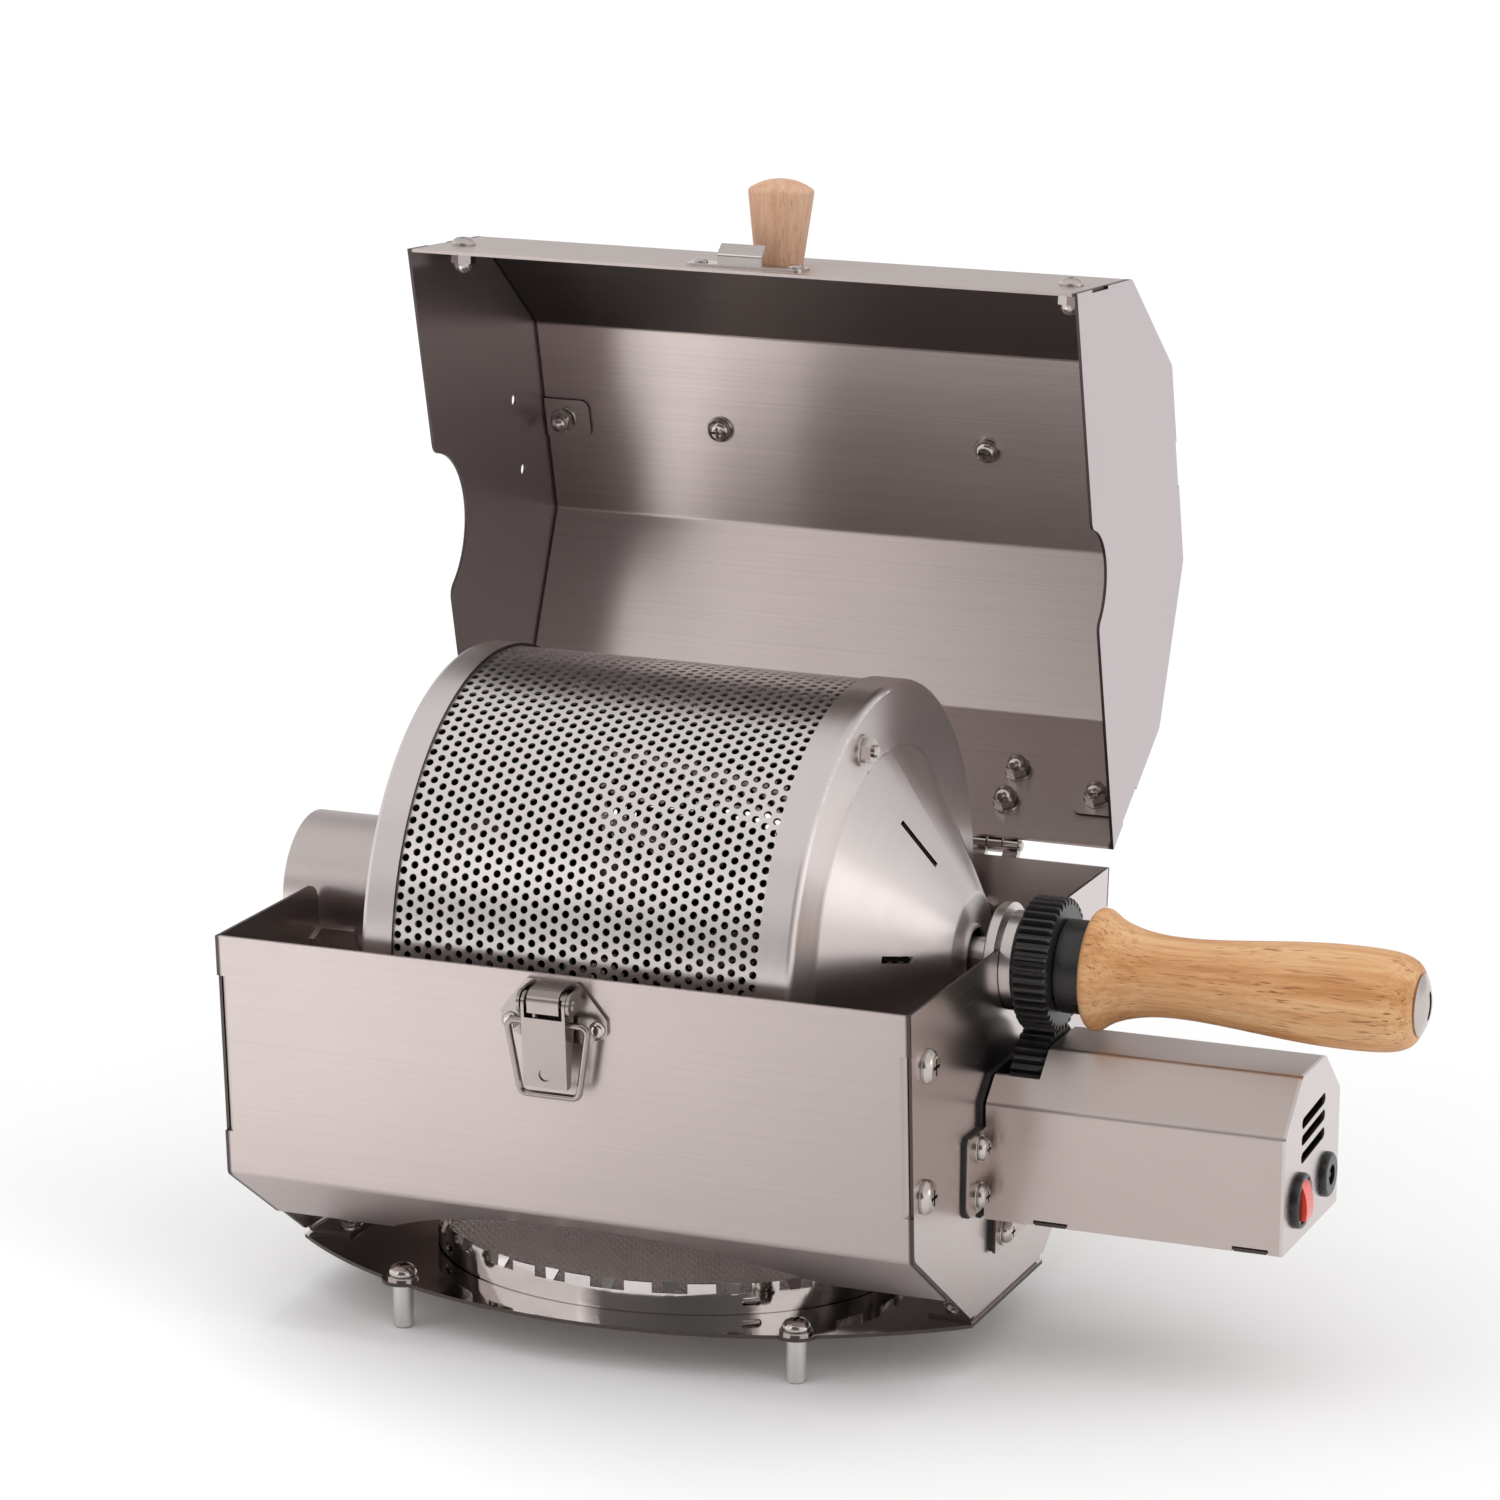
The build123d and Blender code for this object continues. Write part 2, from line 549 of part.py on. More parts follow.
with BuildPart() as latch_lever:
    for x in (-7.2, 6.2):
        with BuildSketch(fw_section(x)):
            Polygon((-104.2, LEVER_Z0), (-101.4, LEVER_Z0), (-97.8, 115.0), (-97.8, LATCH_Z), (-104.2, LATCH_Z), align=None)
            with Locations((LATCH_Y, LATCH_Z)):
                Circle(3.2)
                Circle(1.26, mode=Mode.SUBTRACT)
            with Locations((LATCH_Y, BAIL_Z)):
                Circle(BAIL_WIRE_R + 0.05, mode=Mode.SUBTRACT)
        extrude(amount=1.0)
    with Locations(Plane(origin=fw_pt(0, -103.7, (LEVER_Z0 + LEVER_Z1) / 2), x_dir=(1, 0, 0), z_dir=fw_dir(0, 0, 1))):
        Box(14.4, 1.0, LEVER_Z1 - LEVER_Z0)
    drill(fw_pt(0, -104.2, 102.1), fw_dir(0, 1, 0), 2.0, 1.2)
write(latch_lever, "latch_lever")

with BuildPart() as latch_bail:
    with BuildLine(Plane(origin=fw_pt(0, LATCH_Y, 0), x_dir=(1, 0, 0), z_dir=fw_dir(0, -1, 0))) as bail_path:
        FilletPolyline((5.7, BAIL_Z), (13.4, BAIL_Z), (9.5, 94.5), (-9.5, 94.5), (-13.4, BAIL_Z), (-5.7, BAIL_Z), radius=2.4)
    with BuildSketch(Plane(origin=fw_pt(5.7, LATCH_Y, BAIL_Z), z_dir=(1, 0, 0))):
        Circle(BAIL_WIRE_R)
    sweep(path=bail_path.wires()[0])
write(latch_bail, "latch_bail")

# --------------------------------------------------------------------- hinges


def stop_pt(s, n):
    """Point beside the open lid's rear wall, s along it from the hinge axis, n out of its face."""
    y, z = on_rear(s, n)
    return lid_pt(0, y, z)[1:]


with BuildPart() as hinge_body_leaves:
    for sx in SIDES:
        cx = sx * HINGE_X
        with Locations(Plane(origin=rw_pt(cx, HW + 0.5, (91 + 128) / 2), x_dir=(1, 0, 0), z_dir=rw_dir(0, 0, 1))):
            Box(16, 1.0, 37)
        for x in (cx - 8, cx + 3):
            with BuildSketch(Plane.YZ.offset(x)):
                Polygon((HW - 0.4, 124.0), (HW + 0.3, 124.0), (102.7, 131.1), (100.0, 132.2), (97.0, 129.6), (HW, 127.8), align=None)
                Polygon(stop_pt(0.4, 4.6), stop_pt(0.4, 2.4), stop_pt(7.0, 1.35), stop_pt(7.0, 2.6), align=None)
                with Locations((HINGE_Y, HINGE_Z)):
                    Circle(KNUCKLE_R)
                    Circle(HINGE_PIN_R, mode=Mode.SUBTRACT)
            extrude(amount=5)
        for z in (98.0, 113.0):
            drill(rw_pt(cx, HW + 0.5, z), rw_dir(0, 1, 0), 2.1, 4)
write(hinge_body_leaves, "hinge_body_leaves")

with BuildPart() as hinge_pins:
    for sx in SIDES:
        turned(
            Plane(origin=(sx * HINGE_X, HINGE_Y, HINGE_Z), x_dir=(1, 0, 0), z_dir=(0, -1, 0)),
            [(-8.9, 0), (-8.9, 1.5), (-8.3, 1.9), (-8.0, 1.9), (-8.0, HINGE_PIN_R), (8.0, HINGE_PIN_R), (8.0, 1.9), (8.3, 1.9), (8.9, 1.5), (8.9, 0)],
        )
write(hinge_pins, "hinge_pins")

with BuildPart() as hinge_body_screws:
    for sx in SIDES:
        for z in (98.0, 113.0):
            pan_head(rw_pt(sx * HINGE_X, HW + 1.0, z), rw_dir(0, 1, 0), 3.7, 2.5, 1.95, 7.0)
write(hinge_body_screws, "hinge_body_screws")

with BuildPart() as hinge_lid_leaves:
    for sx in SIDES:
        cx = sx * HINGE_X
        with BuildSketch(lid_section(cx - 8)):
            Polygon(on_rear(6.0, 0), on_rear(36, 0), on_rear(36, 1.0), on_rear(6.0, 1.0), align=None)
        extrude(amount=16)
        with BuildSketch(lid_section(cx - 2.5)):
            Polygon(on_rear(7, 0), on_rear(7, 1.0), on_rear(4.4, 1.2), on_rear(2.9, 3.2), on_rear(0.5, 3.5), on_rear(0.5, 1.4), on_rear(1.6, 0), align=None)
            with Locations((HINGE_Y, HINGE_Z)):
                Circle(KNUCKLE_R)
                Circle(HINGE_PIN_R + 0.05, mode=Mode.SUBTRACT)
        extrude(amount=5.0)
        for s in HINGE_S:
            drill(rear_pt(cx, s, 0.5), REAR_OUT, 2.1, 4)
write(hinge_lid_leaves, "hinge_lid_leaves")

with BuildPart() as hinge_lid_screws:
    for sx in SIDES:
        for s in HINGE_S:
            pan_head(rear_pt(sx * HINGE_X, s, 1.0), REAR_OUT, 3.7, 2.5, 1.95, 7.0)
write(hinge_lid_screws, "hinge_lid_screws")

# ------------------------------------------------------------------------ lid

LID_OUT = LID + [(-y, z) for y, z in reversed(LID)]
LID_TOP = LID[2][1]
KNOB_X, KNOB_S = 5.0, 26.0
CATCH_S = (6.0, 16.5)
TOP_SCREW_X, FRONT_SCREW_X, REAR_SCREW_X = 105.4, 104.4, 103.2
FRONT_SCREW_S, REAR_SCREW_S = 23.0, 19.5
LID_TAB = 17.0

with BuildPart() as lid_shell:
    with BuildSketch(lid_section(-HL + T)):
        bent_sheet(LID_OUT, T, BEND_R)
    extrude(amount=2 * (HL - T))
    for sx in SIDES:
        drill(lid_pt(sx * TOP_SCREW_X, 0, LID_TOP), TOP_OUT, 2.1, 6)
        drill(lid_pt(sx * 48, 0, LID_TOP), TOP_OUT, 2.1, 6)
        drill(front_pt(sx * FRONT_SCREW_X, FRONT_SCREW_S, 0), FRONT_OUT, 2.1, 6)
        drill(rear_pt(sx * REAR_SCREW_X, REAR_SCREW_S, 0), REAR_OUT, 2.1, 6)
        for s in HINGE_S:
            drill(rear_pt(sx * HINGE_X, s, 0), REAR_OUT, 2.1, 6)
        drill(front_pt(sx * 16, 11.5, 0), FRONT_OUT, 1.55, 6)
    drill(front_pt(KNOB_X, KNOB_S, 0), FRONT_OUT, 2.1, 6)
write(lid_shell, "lid_shell")


def lid_end_tabs():
    """Three fixing tabs folded in from a lid end, drawn on the section."""
    Polygon((-7, LID_TOP - 2.05), (7, LID_TOP - 2.05), (7, LID_TOP - 1.05), (-7, LID_TOP - 1.05), align=None)
    Polygon(on_front(16, -2.05), on_front(30, -2.05), on_front(30, -1.05), on_front(16, -1.05), align=None)
    Polygon(on_rear(12.5, -2.05), on_rear(26.5, -2.05), on_rear(26.5, -1.05), on_rear(12.5, -1.05), align=None)


def lid_end_reliefs():
    """Relief cuts in the rim over each tab."""
    Polygon((-8, LID_TOP - 1.0), (8, LID_TOP - 1.0), (8, LID_TOP + 1), (-8, LID_TOP + 1), align=None, mode=Mode.SUBTRACT)
    Polygon(on_front(15, -1.0), on_front(31, -1.0), on_front(31, 1), on_front(15, 1), align=None, mode=Mode.SUBTRACT)
    Polygon(on_rear(11.5, -1.0), on_rear(27.5, -1.0), on_rear(27.5, 1), on_rear(11.5, 1), align=None, mode=Mode.SUBTRACT)


with BuildPart() as lid_left_end:
    with BuildSketch(lid_section(-HL)) as lid_left_outline:
        with BuildLine():
            FilletPolyline(*LID_OUT, radius=[0, 3, 3, 3, 3, 0], close=True)
        make_face()
        with Locations((0, AX_Z)):
            Circle(26.0, mode=Mode.SUBTRACT)
        with Locations((-16, 195.7), (10.3, 196.6)):
            Circle(2.0, mode=Mode.SUBTRACT)
        fillet([v for v in lid_left_outline.vertices() if abs(v.Y - LID[0][1]) < 0.01 and abs(v.X) < 27], 5.0)
        lid_end_reliefs()
    extrude(amount=T)
    with BuildSketch(lid_section(-HL + T - 0.2)):
        lid_end_tabs()
    extrude(amount=LID_TAB + 0.2)
    fillet([e for e in lid_left_end.edges() if abs(e.length - 1.0) < 0.01 and abs(e.center().X + HL - T - LID_TAB) < 0.01], 3.0)
    drill(lid_pt(-TOP_SCREW_X, 0, LID_TOP - 1.5), TOP_OUT, 2.1, 4)
    drill(front_pt(-FRONT_SCREW_X, FRONT_SCREW_S, -1.5), FRONT_OUT, 2.1, 4)
    drill(rear_pt(-REAR_SCREW_X, REAR_SCREW_S, -1.5), REAR_OUT, 2.1, 4)
write(lid_left_end, "lid_left_end")

with BuildPart() as lid_right_end:
    with BuildSketch(lid_section(HL - T)) as lid_right_outline:
        with BuildLine():
            FilletPolyline(*LID_OUT, radius=[0, 3, 3, 3, 3, 0], close=True)
        make_face()
        with Locations((0, AX_Z)):
            Circle(18.6, mode=Mode.SUBTRACT)
        fillet([v for v in lid_right_outline.vertices() if abs(v.Y - LID[0][1]) < 0.01 and abs(v.X) < 20], 4.0)
        lid_end_reliefs()
    extrude(amount=T)
    with BuildSketch(lid_section(HL - T - LID_TAB)):
        lid_end_tabs()
    extrude(amount=LID_TAB + 0.2)
    fillet([e for e in lid_right_end.edges() if abs(e.length - 1.0) < 0.01 and abs(e.center().X - HL + T + LID_TAB) < 0.01], 3.0)
    drill(lid_pt(TOP_SCREW_X, 0, LID_TOP - 1.5), TOP_OUT, 2.1, 4)
    drill(front_pt(FRONT_SCREW_X, FRONT_SCREW_S, -1.5), FRONT_OUT, 2.1, 4)
    drill(rear_pt(REAR_SCREW_X, REAR_SCREW_S, -1.5), REAR_OUT, 2.1, 4)
write(lid_right_end, "lid_right_end")

with BuildPart() as lid_screws:
    for sx in SIDES:
        pan_head(lid_pt(sx * TOP_SCREW_X, 0, LID_TOP), TOP_OUT, 3.9, 2.6, 1.95, 7.0)
        pan_head(front_pt(sx * FRONT_SCREW_X, FRONT_SCREW_S, 0), FRONT_OUT, 3.9, 2.6, 1.95, 7.0)
        pan_head(rear_pt(sx * REAR_SCREW_X, REAR_SCREW_S, 0), REAR_OUT, 3.9, 2.6, 1.95, 7.0)
    pan_head(front_pt(KNOB_X, KNOB_S, -T), tuple(-v for v in FRONT_OUT), 3.9, 2.6, 1.95, 12.0)
write(lid_screws, "lid_screws")

with BuildPart() as lid_nuts:
    for sx in SIDES:
        acorn_nut(lid_pt(sx * TOP_SCREW_X, 0, LID_TOP - 2.1), tuple(-v for v in TOP_OUT), 7.0, 2.0)
        acorn_nut(front_pt(sx * FRONT_SCREW_X, FRONT_SCREW_S, -2.1), tuple(-v for v in FRONT_OUT), 7.0, 2.0)
        acorn_nut(rear_pt(sx * REAR_SCREW_X, REAR_SCREW_S, -2.1), tuple(-v for v in REAR_OUT), 7.0, 2.0)
        for s in HINGE_S:
            acorn_nut(rear_pt(sx * HINGE_X, s, -T - 0.05), tuple(-v for v in REAR_OUT), 7.0, 2.0)
write(lid_nuts, "lid_nuts")

with BuildPart() as lid_top_screws:
    for sx in SIDES:
        washer(lid_pt(sx * 48, 0, LID_TOP - T - 0.05), tuple(-v for v in TOP_OUT), 4.6, 2.05, 0.8)
        pan_head(lid_pt(sx * 48, 0, LID_TOP - T - 0.9), tuple(-v for v in TOP_OUT), 4.15, 2.7, 1.95, 6.4)
write(lid_top_screws, "lid_top_screws")

with BuildPart() as lid_top_nuts:
    for sx in SIDES:
        with BuildSketch(Plane(origin=lid_pt(sx * 48, 0, LID_TOP), z_dir=TOP_OUT)):
            RegularPolygon(3.5, 6, major_radius=False)
        extrude(amount=3.0)
        with BuildSketch(along(lid_pt(sx * 48, 0, LID_TOP), TOP_OUT)):
            with BuildLine():
                Polyline((6.6, 0), (2.5, 0), (2.5, 3.2), (3.6, 3.2))
                ThreePointArc((3.6, 3.2), dome_mid((3.6, 3.2), (6.6, 0)), (6.6, 0))
            make_face()
        revolve(axis=Axis(lid_pt(sx * 48, 0, LID_TOP), TOP_OUT))
        drill(lid_pt(sx * 48, 0, LID_TOP), TOP_OUT, 2.0, 9.8)
write(lid_top_nuts, "lid_top_nuts")

with BuildPart() as lid_catch:
    with BuildSketch(Plane(origin=front_pt(0, 0, 0), x_dir=(1, 0, 0), z_dir=FRONT_OUT)):
        with Locations((0, (CATCH_S[0] + CATCH_S[1]) / 2)):
            RectangleRounded(39.5, CATCH_S[1] - CATCH_S[0], 2.0)
        with Locations((-16, 11.5), (16, 11.5)):
            Circle(1.55, mode=Mode.SUBTRACT)
    extrude(amount=1.0)
    with BuildSketch(lid_section(-8.4)):
        bent_sheet([on_front(CATCH_S[0] + 3.4, 7.6), on_front(CATCH_S[0], 4.8), on_front(CATCH_S[0], 0)], 1.1, 1.2)
    extrude(amount=15.0)
write(lid_catch, "lid_catch")

with BuildPart() as catch_rivets:
    for sx in SIDES:
        pan_head(front_pt(sx * 16, 11.5, 1.0), FRONT_OUT, 2.3, 1.1, 1.5, 3.0, cross=False)
write(catch_rivets, "catch_rivets")

with BuildPart() as lid_knob:
    with BuildSketch(along(front_pt(KNOB_X, KNOB_S, 0), FRONT_OUT)):
        with BuildLine():
            Polyline((27.8, 0), (13, 0), (13, 2.0), (0, 2.0), (0, 7.2), (0.5, 7.75), (23.2, 10.6))
            ThreePointArc((23.2, 10.6), (24.2, 10.45), (24.9, 9.75))
            ThreePointArc((24.9, 9.75), dome_mid((24.9, 9.75), (27.8, 0)), (27.8, 0))
        make_face()
    revolve(axis=Axis(front_pt(KNOB_X, KNOB_S, 0), FRONT_OUT))
write(lid_knob, "lid_knob")

# ----------------------------------------------------------------------- drum

with BuildPart() as drum_sheet:
    turned(AXIS, [(-66, DRUM_R - 0.8), (67, DRUM_R - 0.8), (67, DRUM_R), (-66, DRUM_R)])
write(drum_sheet, "drum_sheet")

with BuildPart() as drum_left_cap:
    turned(AXIS, [(-59.5, 82.4), (-59.5, 83.4), (-68.4, 83.4), (-69.5, 82.9), (-70, 81.8), (-70, 23.52), (-69, 23.52), (-69, 82.4)])
write(drum_left_cap, "drum_left_cap")

with BuildPart() as drum_tube:
    turned(AXIS, [(-125.8, 22.5), (-68, 22.5), (-68, 27), (-69, 27), (-69, 23.5), (-125.8, 23.5)])
write(drum_tube, "drum_tube")

_slope = (CONE_TIP[0] - CONE_FOOT[0]) / (CONE_FOOT[1] - CONE_TIP[1])
_cn = math.hypot(1.0, _slope)
CONE_N = (1.0 / _cn, _slope / _cn)


def cone_x(r):
    """Outer face of the cone at a radius."""
    return CONE_TIP[0] - (r - CONE_TIP[1]) * _slope


with BuildPart() as drum_cone:
    with BuildSketch(AXIS):
        bent_sheet([(CONE_TIP[0] + 1.3, 9.8), (CONE_TIP[0], 9.8), CONE_TIP, CONE_FOOT, (CONE_FOOT[0], BAND_R), (60.7, BAND_R)], 1.0, [0.3, 1.0, 2.0, 1.2])
    revolve(axis=Axis((0, 0, AX_Z), (1, 0, 0)))
    for angles, r0, r1 in ((MAIN_VANES, 32.3, 47.3), (SHORT_VANES, 32.1, 42.2)):
        for a in angles:
            _a = math.radians(a)
            with Locations(Plane(origin=polar(90, (r0 + r1) / 2, a), x_dir=(0, math.cos(_a), math.sin(_a)), z_dir=(1, 0, 0))):
                Box(r1 - r0, 2.2, 24, mode=Mode.SUBTRACT)
    for a in CONE_SCREWS:
        drill(polar(CONE_FOOT[0], CONE_SCREW_R, a), (1, 0, 0), 2.1, 5)
write(drum_cone, "drum_cone")

_in = 1.0 / CONE_N[0]
with BuildPart() as drum_vanes:
    for angles, x0, r0, r1 in ((MAIN_VANES, -66.0, 33.1, 46.5), (SHORT_VANES, -10.0, 32.9, 41.4)):
        for a in angles:
            _a = math.radians(a)
            _rad, _tan = (0, math.cos(_a), math.sin(_a)), (0, -math.sin(_a), math.cos(_a))
            with BuildSketch(Plane(origin=(0, -0.5 * _tan[1], AX_Z - 0.5 * _tan[2]), x_dir=(1, 0, 0), z_dir=_tan)):
                Polygon(
                    (x0, 81.5), (62, 81.5), (62, 64.5),
                    (cone_x(r1) - _in - 0.3, r1), (cone_x(r1) - 0.1, r1),
                    (cone_x(r0) - 0.1, r0), (cone_x(r0) - _in - 0.3, r0),
                    (84, r0), (50, 64), (x0, 64),
                    align=None,
                )
            extrude(amount=1.0)
write(drum_vanes, "drum_vanes")

with BuildPart() as drum_shaft:
    turned(AXIS, [(90, 0), (90, SHAFT_R - 0.6), (90.6, SHAFT_R), (93, SHAFT_R), (93, 28.75), (96, 24.15), (96, SHAFT_R), (243.3, SHAFT_R), (243.3, 0)])
write(drum_shaft, "drum_shaft")

with BuildPart() as drum_fasteners:
    for a in CONE_SCREWS:
        washer(polar(CONE_FOOT[0] + 0.05, CONE_SCREW_R, a), (1, 0, 0), 5.0, 2.05, 0.9)
        hex_nut(polar(CONE_FOOT[0] + 1.0, CONE_SCREW_R, a), (1, 0, 0), 7.0, 3.2, 2.0)
        pan_head(polar(CONE_FOOT[0] - 1.05, CONE_SCREW_R, a), (-1, 0, 0), 3.9, 2.6, 1.95, 6.6)
write(drum_fasteners, "drum_fasteners")


def gear_points(first):
    """Tooth outline of a spur gear, its first tooth centred at an angle."""
    pts = []
    for k in range(TEETH):
        c = math.radians(first + 360.0 / TEETH * k)
        for r, h in ((18.75, -0.050), (19.4, -0.0405), (20.0, -0.0318), (20.5, -0.0248), (20.9, -0.018), (20.9, 0.018), (20.5, 0.0248), (20.0, 0.0318), (19.4, 0.0405), (18.75, 0.050)):
            pts.append((r * math.cos(c + h), r * math.sin(c + h)))
    return pts


with BuildPart() as drive_gear:
    with BuildSketch(Plane.YZ.offset(119.8)):
        with Locations((0, AX_Z)):
            Polygon(*gear_points(-90.0), align=None)
            Circle(SHAFT_R + 0.02, mode=Mode.SUBTRACT)
    extrude(amount=11.0)
    with BuildSketch(AXIS):
        with BuildLine():
            Polyline((119.8, 0), (119.8, 20.1), (120.6, 20.95), (130.0, 20.95), (130.8, 20.1), (130.8, 0), close=True)
        make_face()
    revolve(axis=Axis((0, 0, AX_Z), (1, 0, 0)), mode=Mode.INTERSECT)
write(drive_gear, "drive_gear")

with BuildPart() as handle_hub:
    turned(AXIS, [(130.85, SHAFT_R + 0.02), (130.85, 13.9), (131.6, 14.6), (140.15, 14.6), (140.15, SHAFT_R + 0.02)])
write(handle_hub, "handle_hub")

with BuildPart() as wood_handle:
    with BuildSketch(AXIS):
        with BuildLine():
            Polyline((243.3, 10.4), (243.3, SHAFT_R + 0.02), (140.2, SHAFT_R + 0.02), (140.2, 17.7))
            Spline((140.2, 17.7), (141.2, 18.8), (143.0, 19.0), (146.0, 17.3), (151.0, 14.9), (158.0, 13.2), (168.7, 12.5), (180.0, 13.0), (199.0, 14.7), (213.5, 15.7), (223.0, 15.9), (233.0, 15.5), (238.5, 14.5), (241.9, 12.6), (243.3, 10.4))
        make_face()
    revolve(axis=Axis((0, 0, AX_Z), (1, 0, 0)))
write(wood_handle, "wood_handle")

with BuildPart() as handle_end_cap:
    with BuildSketch(AXIS):
        with BuildLine():
            Polyline((246.5, 0), (243.35, 0), (243.35, 9.4), (244.0, 9.6))
            ThreePointArc((244.0, 9.6), dome_mid((244.0, 9.6), (246.5, 0)), (246.5, 0))
        make_face()
    revolve(axis=Axis((0, 0, AX_Z), (1, 0, 0)))
    with BuildSketch(Plane.YZ.offset(244.9)):
        with Locations((0, AX_Z)):
            SlotOverall(9.0, 2.4, rotation=80)
    extrude(amount=4, mode=Mode.SUBTRACT)
write(handle_end_cap, "handle_end_cap")

# ------------------------------------------------------------------ motor box

with BuildPart() as motor_gasket:
    with BuildSketch(Plane.YZ.offset(HL)) as gasket:
        Polygon((-BOX_Y, BOX_Z0), (BOX_Y, BOX_Z0), (BOX_Y, BOX_Z1), (21.8, 93.4), (-21.8, 93.4), (-BOX_Y, BOX_Z1), align=None)
        with Locations((0, (TAB_Z0 + TAB_Z1) / 2)):
            Rectangle(2 * TAB_Y + 1.6, TAB_Z1 - TAB_Z0 + 1.0)
        with Locations((0, 44.0)):
            Rectangle(37.6, 20.6)
        fillet([v for v in gasket.vertices() if abs(v.X) > TAB_Y and v.Y > 60], 2.4)
        fillet([v for v in gasket.vertices() if abs(v.X) > TAB_Y and v.Y < 60 or v.Y < 35], 5.0)
        with Locations(*MOTOR_SCREWS):
            Circle(2.1, mode=Mode.SUBTRACT)
    extrude(amount=BOX_X0 - T - HL)
write(motor_gasket, "motor_gasket")

BOX = [(BOX_Y, BOX_Z0), (BOX_Y, BOX_Z1), (BOX_TOP_Y, BOX_TOP_Z), (-BOX_TOP_Y, BOX_TOP_Z), (-BOX_Y, BOX_Z1), (-BOX_Y, BOX_Z0)]

with BuildPart() as motor_cover:
    with BuildSketch(Plane.YZ.offset(BOX_X0)):
        bent_sheet(BOX, T, 1.5)
    extrude(amount=BOX_X1 - BOX_X0)
    with Locations(((BOX_X0 - 0.5 + 130.4) / 2, 0, 93.4 + 10)):
        Box(130.4 - BOX_X0 + 0.5, 80, 20, mode=Mode.SUBTRACT)
    for sy in SIDES:
        for x0, x1 in ((131.9, 142.9), (195.3, 206.7)):
            with Locations(((x0 + x1) / 2, sy * (BOX_Y - 0.5), BOX_Z0 + 0.8)):
                Box(x1 - x0, 3, 1.6, mode=Mode.SUBTRACT)
    with BuildSketch(Plane.YZ.offset(BOX_X0 - T)) as cover_tabs:
        for sy in SIDES:
            with Locations((sy * (BOX_Y - T + TAB_Y) / 2, (TAB_Z0 + TAB_Z1) / 2)):
                Rectangle(TAB_Y - BOX_Y + T, TAB_Z1 - TAB_Z0)
        fillet([v for v in cover_tabs.vertices() if abs(v.X) > TAB_Y - 1 and v.Y > 60], 2.0)
        fillet([v for v in cover_tabs.vertices() if abs(v.X) > TAB_Y - 1 and v.Y < 60], 4.6)
        with Locations(*MOTOR_SCREWS[:4]):
            Circle(2.1, mode=Mode.SUBTRACT)
    extrude(amount=T)
write(motor_cover, "motor_cover")

with BuildPart() as motor_bottom_plate:
    with Locations(((BOX_X0 + BOX_X1) / 2, 0, BOX_Z0 + 0.5)):
        Box(BOX_X1 - BOX_X0 - 0.1, 2 * (BOX_Y - T - 0.1), T)
    for sy in SIDES:
        for x0, x1 in ((131.9, 142.9), (195.3, 206.7)):
            with Locations(((x0 + x1) / 2, sy * (BOX_Y - 0.8), BOX_Z0 + 0.5)):
                Box(x1 - x0 - 1.0, 1.4, T)
    with BuildSketch(Plane.XZ.offset(-18.2)):
        bent_sheet([(124, BOX_Z0 + T), (BOX_X0 - T, BOX_Z0 + T), (BOX_X0 - T, 34.4)], T, 0.8)
    extrude(amount=36.4)
    for y, z in MOTOR_SCREWS[4:]:
        drill((BOX_X0 - 0.5, y, z), (1, 0, 0), 2.1, 4)
    for y in (-15, 15):
        drill((205, y, BOX_Z0 + 0.5), (0, 0, 1), 1.6, 4)
        drill((140, y, BOX_Z0 + 0.5), (0, 0, 1), 1.6, 4)
write(motor_bottom_plate, "motor_bottom_plate")

with BuildPart() as motor_end_plate:
    with BuildSketch(Plane.YZ.offset(BOX_X1)):
        with BuildLine():
            FilletPolyline(*BOX, radius=[0, 2.5, 2.5, 2.5, 2.5, 0], close=True)
        make_face()
        with Locations((0.5, 86.9), (0.5, 81.6), (0.5, 75.9)):
            SlotOverall(25.5, 3.5, rotation=4.5, mode=Mode.SUBTRACT)
        with Locations((SWITCH_Y, SWITCH_Z)):
            Circle(7.75, mode=Mode.SUBTRACT)
        with Locations((JACK_Y, JACK_Z)):
            Circle(5.5, mode=Mode.SUBTRACT)
    extrude(amount=T)
    with Locations((205.2, 0, BOX_Z0 + T + 0.55)):
        Box(10.4, 40, T)
    for y in (-15, 15):
        drill((205, y, BOX_Z0 + T + 0.5), (0, 0, 1), 1.5, 4)
write(motor_end_plate, "motor_end_plate")

MOTOR_LUGS = [(15.5 * math.cos(math.radians(a)), GEARBOX_Z + 15.5 * math.sin(math.radians(a))) for a in (30, 150, 270)]

with BuildPart() as motor_bracket:
    with BuildSketch(Plane.YZ.offset(133.0)):
        Polygon((-26, 50.35), (26, 50.35), (26, 85), (13, 96.5), (-13, 96.5), (-26, 85), align=None)
        with Locations((0, PINION_Z)):
            Circle(6.2, mode=Mode.SUBTRACT)
        with Locations(*MOTOR_LUGS):
            Circle(1.55, mode=Mode.SUBTRACT)
    extrude(amount=1.5)
    with Locations((139.5, 0, 50.35 + 0.75)):
        Box(13, 52, 1.5)
    for y in (-15, 15):
        drill((140, y, 51.1), (0, 0, 1), 1.5, 5)
write(motor_bracket, "motor_bracket")

MOTOR = Plane(origin=(0, 0, GEARBOX_Z), x_dir=(1, 0, 0), z_dir=(0, -1, 0))
OUTPUT = Plane(origin=(0, 0, PINION_Z), x_dir=(1, 0, 0), z_dir=(0, -1, 0))

